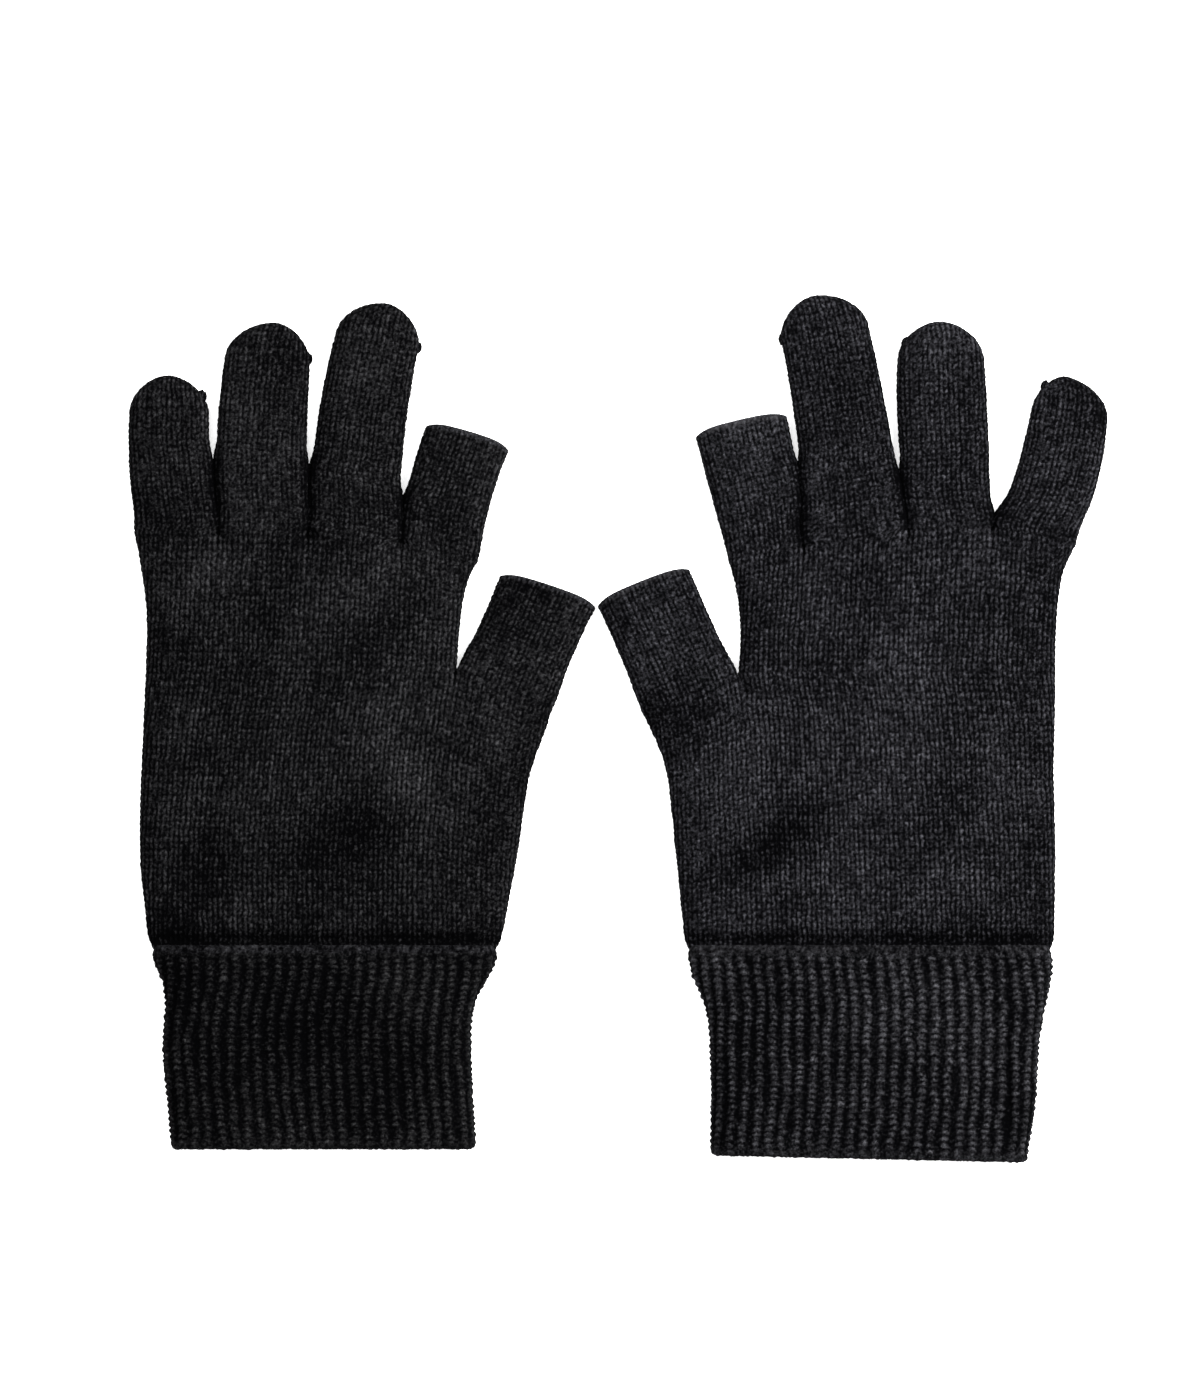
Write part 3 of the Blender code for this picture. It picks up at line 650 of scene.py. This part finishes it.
    def build_finger(self, finger):
        """A finger's front and back grids, welded to the palm's at its root."""
        rows, length, end_across = self.finger_rows(finger)
        part, cloth = self.columns, self.cloth
        tau = np.linspace(0, 1, part + 1)
        root_front, root_back, s_front, s_back, t0, _ = self.roots[finger]
        open_end = finger in OPEN_ENDED
        half_height = HEIGHT / 2 - SKIN
        outer_rows = len(rows)
        if open_end:
            # The edge rolls over, and the cloth runs on inside
            middle, direction, half = rows[-1][:3]
            end_out = turned(end_across)
            for angle in np.radians((30, 60, 90, 120, 150, 180)):
                rolled = middle + end_out * RIM_ROLL * math.sin(angle)
                inside = WALL * (1 - math.cos(angle)) / 2
                rows.append((rolled, direction, half, 1.0, inside, (0.0, 0.0)))
            for k in range(1, int(RIM_DEPTH / (2 * length / outer_rows)) + 1):
                rows.append((*rows[outer_rows - 1 - 2 * k][:3], 1.0, WALL, (0.0, 0.0)))
        front, back, front_s, back_s, front_t, depth, shade = [], [], [], [], [], [], []
        mid_s, mid_back = s_front[part // 2], s_back[part // 2]
        for number, (middle, direction, half, tall, inside, press) in enumerate(rows, 1):
            width = 2 * (half - inside)
            distance, level = cross(tau, width, 1, 1)
            out = turned(direction)
            plan = middle + direction * (distance - width / 2)[:, None]
            travelled = min(number, outer_rows) * length / outer_rows
            if open_end:
                near = ease((travelled - length + RIM_START) / RIM_START)
                sideways = np.abs(2 * distance / width - 1)
                bulge = RIM_BULGE * near * (1 - sideways**2)
                corner = RIM_CORNER * ease((travelled - length + CORNER_START) / CORNER_START) * sideways**6
                plan = plan + out * (bulge - corner + RIM_REACH * near)[:, None]
            height = (half_height * tall - inside) * level
            front.append(np.c_[plan, HEIGHT / 2 + height])
            back.append(np.c_[plan, HEIGHT / 2 - height])
            straight = (distance - width / 2) / WALE
            arc = arc_from_middle(front[-1]) / WALE
            wrap = ease(travelled / SIDE_SETTLE)
            front_s.append(mid_s + lerp(straight, arc, wrap))
            back_s.append(mid_back - lerp(straight, arc, wrap))
            front_t.append(np.full(part + 1, t0 + number / COURSE_POINTS))
            fade = INSIDE_RELIEF if inside else 1.0
            depth.append(np.full(part + 1, FINGER_RELIEF * fade * max(tall, 0.3)))
            low_side, high_side = distance / PRESS_WIDTH, (width - distance) / PRESS_WIDTH
            shade.append(press[0] * np.exp(-(low_side**2)) + press[1] * np.exp(-(high_side**2)))
        front, back, front_s, back_s, t, depth, shade = map(
            np.array, (front, back, front_s, back_s, front_t, depth, shade)
        )
        # The strips where two fingers touch are darkened as painted shade
        relief = plain_relief(front_s, t, self.seed + 2) - PRESS_SHADE * shade
        relief_back = plain_relief(back_s, t, self.seed + 3) - PRESS_SHADE * shade
        if open_end:
            # A bound-off edge: one smooth cord of yarn in place of the last stitches
            near = np.clip(1 - np.abs(np.arange(len(rows)) - outer_rows - 1) / RIM_CORD, 0, 1)[:, None]
            cord = 0.75 + 0.25 * np.sin(front_s * 4 * math.pi + t * 2)
            relief, relief_back = lerp(relief, cord, near), lerp(relief_back, cord, near)
        fronts = cloth.points(front, relief, depth)
        backs = cloth.points(back, relief_back, depth)
        backs[:, 0], backs[:, part] = fronts[:, 0], fronts[:, part]
        if not open_end:
            backs[-1] = fronts[-1]
        fronts, backs = np.vstack([root_front, fronts]), np.vstack([root_back, backs])
        front_s, back_s = np.vstack([s_front, front_s]), np.vstack([s_back, back_s])
        t = np.vstack([np.full(part + 1, t0), t])
        cut = outer_rows - COURSE_POINTS + 2 if open_end else len(fronts)
        name = f"{self.side}_{finger}_cloth"
        for numbers, columns, facing in ((fronts, front_s, 1), (backs, back_s, -1)):
            cloth.grid(numbers[: cut + 1], columns[: cut + 1], t[: cut + 1], name, facing)
            if open_end:
                cloth.grid(numbers[cut:], columns[cut:], t[cut:], f"{self.side}_{finger}_edge", facing)


# Cuff


class Cuff:
    """One glove's turned-back cuff and the inner layer of the rib."""

    def __init__(self, side, seed):
        self.side, self.seed = side, seed
        self.cloth = Cloth(-1 if side == "right" else 1)
        self.threads = []
        self.outer = cad_edges(side, "cuff_turnback", "cuff_overlock_edge")
        self.inner = cad_edges(side, "cuff_inner_layer")
        self.top = self.outer[:, :, 1].max()
        xs = self.outer[:, :, 0]
        middle = (xs.min() + xs.max()) / 2
        low = self.outer[xs < middle - FOLD_ENDS][:, 1].min()
        high = self.outer[xs > middle + FOLD_ENDS][:, 1].min()
        self.bottom, self.tilt = (low + high) / 2, (high - low) / 2

    def sides(self, edges, top, bottom):
        """A function that gives both sides at any y, from cuts between top and bottom."""
        ys = np.linspace(bottom, top, SIDE_CUTS)
        spans = np.array([level_reach(edges, y) for y in ys])
        ys, spans = ys[~np.isnan(spans[:, 0])], spans[~np.isnan(spans[:, 0])]
        low, high = smoothed(spans[:, 0], 2), smoothed(spans[:, 1], 2)
        return lambda y: (np.interp(y, ys, low), np.interp(y, ys, high))

    def tube(self, stops, sides, pieces, count, amount):
        """A ring grid over (y, depth inside, stitch row) stops, as pieces of (name, first row, last row).

        A piece has a palm side and a back side, except the free edge, which is one piece.
        """
        tau = np.linspace(0, 1, count + 1)
        front, back, s_rows, t_rows = [], [], [], []
        for y, inside, course in stops:
            x0, x1 = sides(y)
            corner = CORNER_INSET * max(0.0, 1 - (self.top - y) / CORNER_LENGTH) ** 2
            x0, x1 = x0 + inside + corner, x1 - inside - corner
            width = x1 - x0
            distance, level = cross(tau, width, 1, 1, CUFF_EDGE - inside * EDGE_SHRINK)
            drop = self.tilt * ease((TILT_TOP - y) / TILT_LENGTH)
            plan = np.c_[x0 + distance, y + drop * (2 * distance / width - 1)]
            height = (CUFF_HEIGHT / 2 - CUFF_SKIN - inside) * level
            front.append(np.c_[plan, CUFF_HEIGHT / 2 + height])
            back.append(np.c_[plan, CUFF_HEIGHT / 2 - height])
            s_rows.append(arc_from_middle(front[-1]) / RIB)
            t_rows.append(np.full(count + 1, course))
        front, back, s, t = map(np.array, (front, back, s_rows, t_rows))
        ys = np.array([stop[0] for stop in stops])[:, None]
        above_fold = ease((ys - self.bottom - 1) / BAND)
        plain = 1 - ease((self.top - ys - BAND_START) / BAND) * lerp(FOLD_RIBS, 1, above_fold)
        relief = lerp(rib_relief(s, t, self.seed), speckle(s, t, self.seed + 2), plain)
        relief_back = lerp(rib_relief(s + 0.5, t, self.seed + 1), speckle(s, t, self.seed + 3), plain)
        fronts = self.cloth.points(front, relief, amount[:, None])
        backs = self.cloth.points(back, relief_back, amount[:, None])
        backs[:, 0], backs[:, -1] = fronts[:, 0], fronts[:, -1]
        for name, first, last in pieces:
            cut = slice(first, last + 1)
            ends = ("", "") if name.endswith("edge") else ("_palm_side", "_back_side")
            self.cloth.grid(fronts[cut], s[cut], t[cut], f"{self.side}_{name}{ends[0]}", -1)
            self.cloth.grid(backs[cut], s[cut] + 0.5, t[cut], f"{self.side}_{name}{ends[1]}", 1)

    def build(self):
        """The outer layer from its lining over the free edge to the fold, the inner layer, the elastic."""
        fold = self.bottom + FOLD_RADIUS
        step = RIB_COURSE / COURSE_POINTS
        sides = self.sides(self.outer, self.top - 0.1, self.bottom + 4)
        course, stops, amount = 0.0, [], []

        def add(y, inside, strength):
            nonlocal course
            stops.append((y, inside, course))
            amount.append(strength)
            course += 1 / COURSE_POINTS

        # Inside of the turned-back layer, up to the free edge
        for y in np.arange(LINING_BOTTOM, self.top - LINING_GAP, step * 2):
            add(y, CUFF_WALL, EDGE_RELIEF)
        first_edge = len(stops)
        for turn in range(0, 181, 30):
            angle = math.radians(turn)
            inside = CUFF_WALL * (1 + math.cos(angle)) / 2 - CUFF_SKIN
            add(self.top - EDGE_ROUND + EDGE_ROUND * math.sin(angle), inside, OVERLOCK_RELIEF)
        last_edge = len(stops) + 2
        for y in np.arange(self.top - EDGE_ROUND - step, fold, -step):
            clear = float(ease((self.top - y - BAND_START) / RELIEF_RISE))
            add(y, 0.0, CUFF_RELIEF * clear + EDGE_RELIEF)
        for turn in range(15, 181, 15):
            angle = math.radians(turn)
            add(fold - FOLD_RADIUS * math.sin(angle), FOLD_RADIUS * (1 - math.cos(angle)), CUFF_RELIEF)
        for k in range(1, ROWS_PAST_FOLD + 1):
            add(fold + step * k, 2 * FOLD_RADIUS, PAST_FOLD_RELIEF)
        count = CUFF_COLUMNS * RIB_POINTS // 1
        pieces = (
            ("cuff_lining", 0, first_edge),
            ("cuff_edge", first_edge, last_edge),
            ("cuff_rib", last_edge, len(stops) - 1),
        )
        self.tube(stops, sides, pieces, count, np.array(amount))

        # Inner layer: out and back, in one closed ring
        low_end, high_end = self.inner[:, :, 1].min() + 0.3, self.inner[:, :, 1].max() - 0.3
        inner = self.sides(self.inner, high_end - 0.2, low_end + 0.4 + abs(self.tilt))
        course, stops, amount = 0.0, [], []
        for y in np.arange(low_end, high_end, step * 2):
            add(y, INNER_GAP + INNER_FACES[0], INNER_RELIEF)
        for y in np.arange(high_end, low_end, -step * 2):
            add(y, INNER_GAP + INNER_FACES[1], INNER_RELIEF)

        def inner_sides(y):
            low, high = inner(y)
            return low - INNER_GAP, high + INNER_GAP

        stops.append((*stops[0][:2], course))
        amount.append(amount[0])
        pieces = (("cuff_inner_rib", 0, len(stops) - 1),)
        self.tube(stops, inner_sides, pieces, count // 2, np.array(amount))
        for number in (1, 2, 3):
            low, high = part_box(f"{self.side}_elastic_thread_{number}")
            self.elastic(number, (low[1] + high[1]) / 2 / MM, inner_sides)

    def elastic(self, number, y, sides):
        """A flat elastic thread laid round the inner layer, in place of the CAD's."""
        x0, x1 = sides(y)
        x0, x1 = x0 + ELASTIC_INSIDE, x1 - ELASTIC_INSIDE
        tau = np.linspace(0, 1, ELASTIC_STEPS + 1)
        distance, level = cross(tau, x1 - x0, 1, 1, CUFF_EDGE - ELASTIC_INSIDE * EDGE_SHRINK)
        height = (CUFF_HEIGHT / 2 - CUFF_SKIN - ELASTIC_INSIDE) * level
        x = np.r_[x0 + distance, (x0 + distance)[-2:0:-1]]
        z = CUFF_HEIGHT / 2 + np.r_[height, -height[-2:0:-1]]
        out = np.c_[np.roll(z, -1) - np.roll(z, 1), np.roll(x, 1) - np.roll(x, -1)]
        out /= -np.linalg.norm(out, axis=1, keepdims=True)
        ring = []
        for turn in np.linspace(0, 2 * math.pi, ELASTIC_SIDES):
            over = ELASTIC_DEPTH / 2 * math.cos(turn)
            along = np.full(len(x), y + ELASTIC_WIDTH / 2 * math.sin(turn))
            ring.append(np.c_[x + out[:, 0] * over, along, z + out[:, 1] * over])
        ring = np.array(ring)
        cloth = Cloth(self.cloth.flip)
        numbers = cloth.points(ring, RELIEF_LEVEL, 0.0)
        numbers[-1] = numbers[0]
        numbers = np.c_[numbers, numbers[:, 0]]
        lengthwise = np.arange(len(x) + 1) / ELASTIC_STEPS
        crosswise = np.linspace(0, 1, ELASTIC_SIDES)[:, None]
        cloth.grid(numbers, lengthwise, crosswise, f"{self.side}_elastic_{number}", -1)
        self.threads.append(cloth)


# Materials


# Painted shade in the gaps between stitches, where the relief is low
PAINTED_GAP_SHADE = 0.0002, 0.0002, 0.0003
# How sharply the painted shade in the gaps gives way to the painted light on the stitch tops
PAINTED_SHADE_CONTRAST = 2.2


def set_inputs(node, values):
    for name, value in values.items():
        node.inputs[name].default_value = value


def knit_material(name, light, fuzz_share, seed):
    """Matt yarn: near black in the gaps between stitches as painted shade, lighter on top as painted light,
    uneven and with loose fibre.
    """
    made = bpy.data.materials.new(name)
    made.use_nodes = True
    nodes, links = made.node_tree.nodes, made.node_tree.links
    shader = nodes["Principled BSDF"]
    set_inputs(shader, {"Roughness": 0.9, "Specular IOR Level": 0.008, "Sheen Weight": 0.002})
    set_inputs(shader, {"Sheen Roughness": 0.5, "Sheen Tint": (0.8, 0.8, 0.9, 1.0)})

    place = nodes.new("ShaderNodeTexCoord")
    relief = nodes.new("ShaderNodeAttribute")
    relief.attribute_name = "relief"

    patch = nodes.new("ShaderNodeTexNoise")
    set_inputs(patch, {"Scale": 38.0, "Detail": 3.0})
    links.new(place.outputs["Object"], patch.inputs["Vector"])

    fuzz = nodes.new("ShaderNodeTexNoise")
    set_inputs(fuzz, {"Scale": 1300.0 + seed, "Detail": 4.0, "Roughness": 0.75})
    links.new(place.outputs["Object"], fuzz.inputs["Vector"])

    def maths(operation, a, b):
        node = nodes.new("ShaderNodeMath")
        node.operation = operation
        for socket, value in zip(node.inputs, (a, b)):
            if isinstance(value, (int, float)):
                socket.default_value = value
            else:
                links.new(value, socket)
        return node.outputs[0]

    fibre = maths("MULTIPLY", maths("SUBTRACT", fuzz.outputs["Fac"], 0.5), fuzz_share)
    uneven = maths("MULTIPLY", maths("SUBTRACT", patch.outputs["Fac"], 0.5), 0.5)
    height = maths("ADD", maths("ADD", relief.outputs["Fac"], fibre), uneven)
    # The relief sets the colour: low gaps take painted shade, high tops painted light
    ramp = nodes.new("ShaderNodeMapRange")
    set_inputs(ramp, {"From Min": 0.12, "From Max": 1.3})
    links.new(height, ramp.inputs["Value"])
    mix = nodes.new("ShaderNodeMix")
    mix.data_type = "RGBA"
    # Inputs 6 and 7 are the node's two colours, input 0 is its factor, and output 2 is its colour
    set_inputs(mix, {6: (*PAINTED_GAP_SHADE, 1.0), 7: (*light, 1.0)})
    links.new(maths("POWER", ramp.outputs["Result"], PAINTED_SHADE_CONTRAST), mix.inputs[0])
    links.new(mix.outputs[2], shader.inputs["Base Color"])

    bump = nodes.new("ShaderNodeBump")
    set_inputs(bump, {"Strength": 0.6, "Distance": 0.0003})
    links.new(fuzz.outputs["Fac"], bump.inputs["Height"])
    links.new(bump.outputs["Normal"], shader.inputs["Normal"])
    return made


def shapes_of(side):
    """The height of a hand's soft swells and folds at any (x, y)."""
    listed = {
        "left": (
            (-122.0, 43.0, 30, 14, 9, 1.3), (-102.0, 30.0, 80, 20, 5, -0.7),
            (-100.0, 53.5, 0, 25, 1.8, -0.6), (-80.0, -32.0, 18, 20, 8, -1.4),
            (-121.0, -42.0, 75, 14, 8, -1.5), (-131.0, -58.0, 90, 6, 5, -1.4),
            (-60.0, -20.0, 100, 22, 8, 0.8), (-40.0, -10.0, 70, 18, 6, 0.7),
            (-118.0, 0.0, 90, 24, 7, -0.4),
        ),
        "right": (
            (46.0, -33.0, 38, 18, 6, -2.1), (44.0, -46.0, 20, 18, 5, 0.8),
            (80.0, 20.0, 80, 24, 8, 0.2), (121.0, -38.0, 90, 10, 4, -1.2),
            (24.0, 4.0, 60, 9, 5, -1.1), (60.0, -5.0, 60, 18, 7, 0.6),
            (110.0, 0.0, 95, 26, 7, 0.4), (126.0, 70.0, 10, 9, 3, -1.0),
        ),
    }[side]
    edge_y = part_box(f"{side}_cuff_overlock_edge")[1][1] / MM

    def height(x, y):
        tuck = TUCK_DEPTH * np.exp(-(((y - edge_y - TUCK_ABOVE) / TUCK_WIDTH) ** 2))
        return 0.35 * noise(x / 16, y / 19, 3) + 0.15 * noise(x / 7, y / 8, 8) - tuck + swells(listed, x, y)

    return height


def swells(listed, x, y):
    """The summed height of listed (x, y, turn, half length, half width, height) swells and folds."""
    total = 0.0
    for cx, cy, turn, long, wide, tall in listed:
        c, s = math.cos(math.radians(turn)), math.sin(math.radians(turn))
        along, over = (x - cx) * c + (y - cy) * s, (y - cy) * c - (x - cx) * s
        total = total + tall * np.exp(-((along / long) ** 2) - (over / wide) ** 2)
    return total


def cuff_shapes_of(side):
    """The same for a cuff. The right one has a line over the inner layer's right edge."""
    listed = {
        "left": (
            (-80.0, -93.0, -15, 26, 12, -1.3), (-128.0, -75.0, 70, 12, 6, -1.2),
            (-75.0, -120.0, 0, 40, 4, 0.5),
        ),
        "right": (
            (38.0, -92.0, 80, 24, 8, -0.9), (113.5, -103.0, 90, 20, 1.6, -1.1),
            (100.0, -88.0, 90, 24, 8, 0.3),
        ),
    }[side]
    return lambda x, y: 0.3 * noise(x / 9, y / 14, 11) + swells(listed, x, y)


def no_swells(x, y):
    return 0.0 * x


def knot(side, finger, finish):
    """A small yarn knot in place of the CAD's, lumpy from its wraps."""
    node = f"{side}_{finger}_finger_yarn_knot"
    low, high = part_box(node)
    middle, radius = (low + high) / 2, (high[2] - low[2]) / 2 * KNOT_LARGER
    bpy.ops.mesh.primitive_uv_sphere_add(segments=28, ring_count=18, radius=1)
    made = bpy.context.active_object
    made.name = f"{side}_{finger}_knot"
    places = np.array([v.co for v in made.data.vertices])
    wraps = 1 + 0.14 * np.sin(places[:, 0] * 9 + places[:, 2] * 7) + 0.08 * np.sin(places[:, 1] * 14)
    finger_middle = np.mean(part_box(f"{side}_{finger}_finger"), axis=0)
    inward = math.copysign(KNOT_SINK * MM, finger_middle[0] - middle[0])
    places = places * wraps[:, None] * radius * (1, KNOT_LONGER, 1) + np.array(middle) + (inward, 0, 0)
    made.data.vertices.foreach_set("co", places.reshape(-1))
    relief = made.data.attributes.new("relief", "FLOAT", "POINT")
    # The wraps' tops are lighter and the grooves between them darker, as painted light and painted shade
    relief.data.foreach_set("value", np.clip((wraps - 0.8) * 2, 0, 1))
    made.data.shade_smooth()
    made.data.materials.append(finish)
    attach(made, f"{side}_{finger}_finger")
    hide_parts(node)


# The right glove's copies are lighter, as painted light, and the left's darker, as painted shade, for the key
# light's fall-off from the right
plains = {
    "left": knit_material("black plain knit, left, painted shade", (0.031, 0.031, 0.033), 2.5, 0),
    "right": knit_material("black plain knit, right, painted light", (0.041, 0.041, 0.047), 2.5, 0),
}
ribs = {
    "left": knit_material("black rib knit, left, painted shade", (0.026, 0.026, 0.027), 2.6, 70),
    "right": knit_material("black rib knit, right, painted light", (0.054, 0.054, 0.060), 2.1, 70),
}
rim = knit_material("black bound-off edge", (0.045, 0.045, 0.050), 2.0, 140)
overlock = knit_material("black overlock yarn", (0.040, 0.040, 0.044), 1.7, 210)
linking = knit_material("black linking yarn", (0.030, 0.030, 0.033), 1.5, 280)
elastic = knit_material("black elastic thread", (0.02, 0.02, 0.02), 0.5, 350)


def body_of(side, finger):
    """The body that a finger rides."""
    return f"{side}_thumb" if finger == "thumb" else f"{side}_{finger}_finger"


def place_finger(side, finger, piece):
    """Bakes a finger's cloth in place and hides the CAD finger that it stands for."""
    root, across = hinge(side, finger)
    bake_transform(piece)
    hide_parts(f"{side}_{finger}_{'half_' if finger in OPEN_ENDED else ''}finger")


def hand_and_fingers(side, seed):
    """A glove's palm, back, fingers, rims and knots; all but the finger cloth on their bodies."""
    glove = Glove(side, seed)
    glove.build_palm()
    for finger in DIGITS:
        glove.build_finger(finger)
    pieces = glove.cloth.build(shapes_of(side), lambda name: rim if name.endswith("_edge") else plains[side])
    for name in ("palm_cloth", "back_cloth"):
        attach(pieces[f"{side}_{name}"], f"{side}_hand")
    for finger in DIGITS:
        place_finger(side, finger, pieces[f"{side}_{finger}_cloth"])
        if finger in OPEN_ENDED:
            piece = pieces[f"{side}_{finger}_edge"]
            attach(piece, body_of(side, finger))
            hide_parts(f"{side}_{finger}_rim")
    gussets = [n for n in frame["nodes"] if n.startswith(side) and n.endswith("gusset")]
    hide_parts(f"{side}_hand", *gussets)
    for finger in ("little", "ring", "middle"):
        knot(side, finger, linking)


def cuff_and_elastic(side, seed):
    """A glove's cuff, its inner layer and the elastic threads, each on its body."""

    def finish(name):
        return overlock if name.endswith("edge") else ribs[side]

    cuff = Cuff(side, seed)
    cuff.build()
    pieces = cuff.cloth.build(cuff_shapes_of(side), finish)
    for name, piece in pieces.items():
        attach(piece, f"{side}_hand" if "inner_rib" in name else f"{side}_cuff_turn")
    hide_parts(f"{side}_cuff_turnback")
    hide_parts(f"{side}_cuff_overlock_edge")
    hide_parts(f"{side}_cuff_inner_layer")
    for n, thread in enumerate(cuff.threads, 1):
        (piece,) = thread.build(no_swells, lambda name: elastic).values()
        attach(piece, f"{side}_hand")
        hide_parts(f"{side}_elastic_thread_{n}")


for number, side in enumerate(SIDES):
    hand_and_fingers(side, 20 * number + 1)
    cuff_and_elastic(side, 20 * number + 11)


# Studio


def floor():
    """Pale paper, bright enough that no shadow shows."""
    bpy.ops.mesh.primitive_plane_add(size=4, location=(0, 0, 0))
    made = bpy.context.active_object
    made.name = "floor"
    finish = bpy.data.materials.new("white paper")
    finish.use_nodes = True
    shader = finish.node_tree.nodes["Principled BSDF"]
    set_inputs(shader, {"Base Color": (0.9, 0.9, 0.9, 1.0), "Roughness": 0.9})
    set_inputs(shader, {"Emission Color": (1, 1, 1, 1), "Emission Strength": 0.6})
    made.data.materials.append(finish)


def area_light(name, place, size, power, colour):
    """A square light aimed at the floor's middle."""
    light = bpy.data.lights.new(name, "AREA")
    light.energy, light.size, light.color = power, size, colour
    made = bpy.data.objects.new(name, light)
    made.location = place
    made.rotation_euler = (Vector((0, 0, 0)) - Vector(place)).to_track_quat("-Z", "Y").to_euler()
    bpy.context.scene.collection.objects.link(made)


def studio():
    """Light from the upper right, a weaker one from the upper left, and a white room."""
    floor()
    area_light("key", (0.50, 0.22, 0.55), 0.5, 26.0, (1.0, 0.99, 0.98))
    area_light("fill", (-0.7, 0.5, 1.2), 1.2, 10.0, (0.96, 0.97, 1.0))
    world = bpy.data.worlds.new("studio")
    bpy.context.scene.world = world
    world.use_nodes = True
    set_inputs(world.node_tree.nodes["Background"], {"Color": (1, 1, 1, 1), "Strength": 1.2})
    bpy.context.scene.view_settings.view_transform = "Standard"


def camera():
    """Straight down, as in the photograph. The scale is the picture's height."""
    made = bpy.data.objects.new("camera", bpy.data.cameras.new("camera"))
    made.data.type = "ORTHO"
    made.data.ortho_scale = 0.4070
    made.location = (-0.00509, 0.00843, 1.0)
    bpy.context.scene.collection.objects.link(made)
    bpy.context.scene.camera = made


studio()
camera()
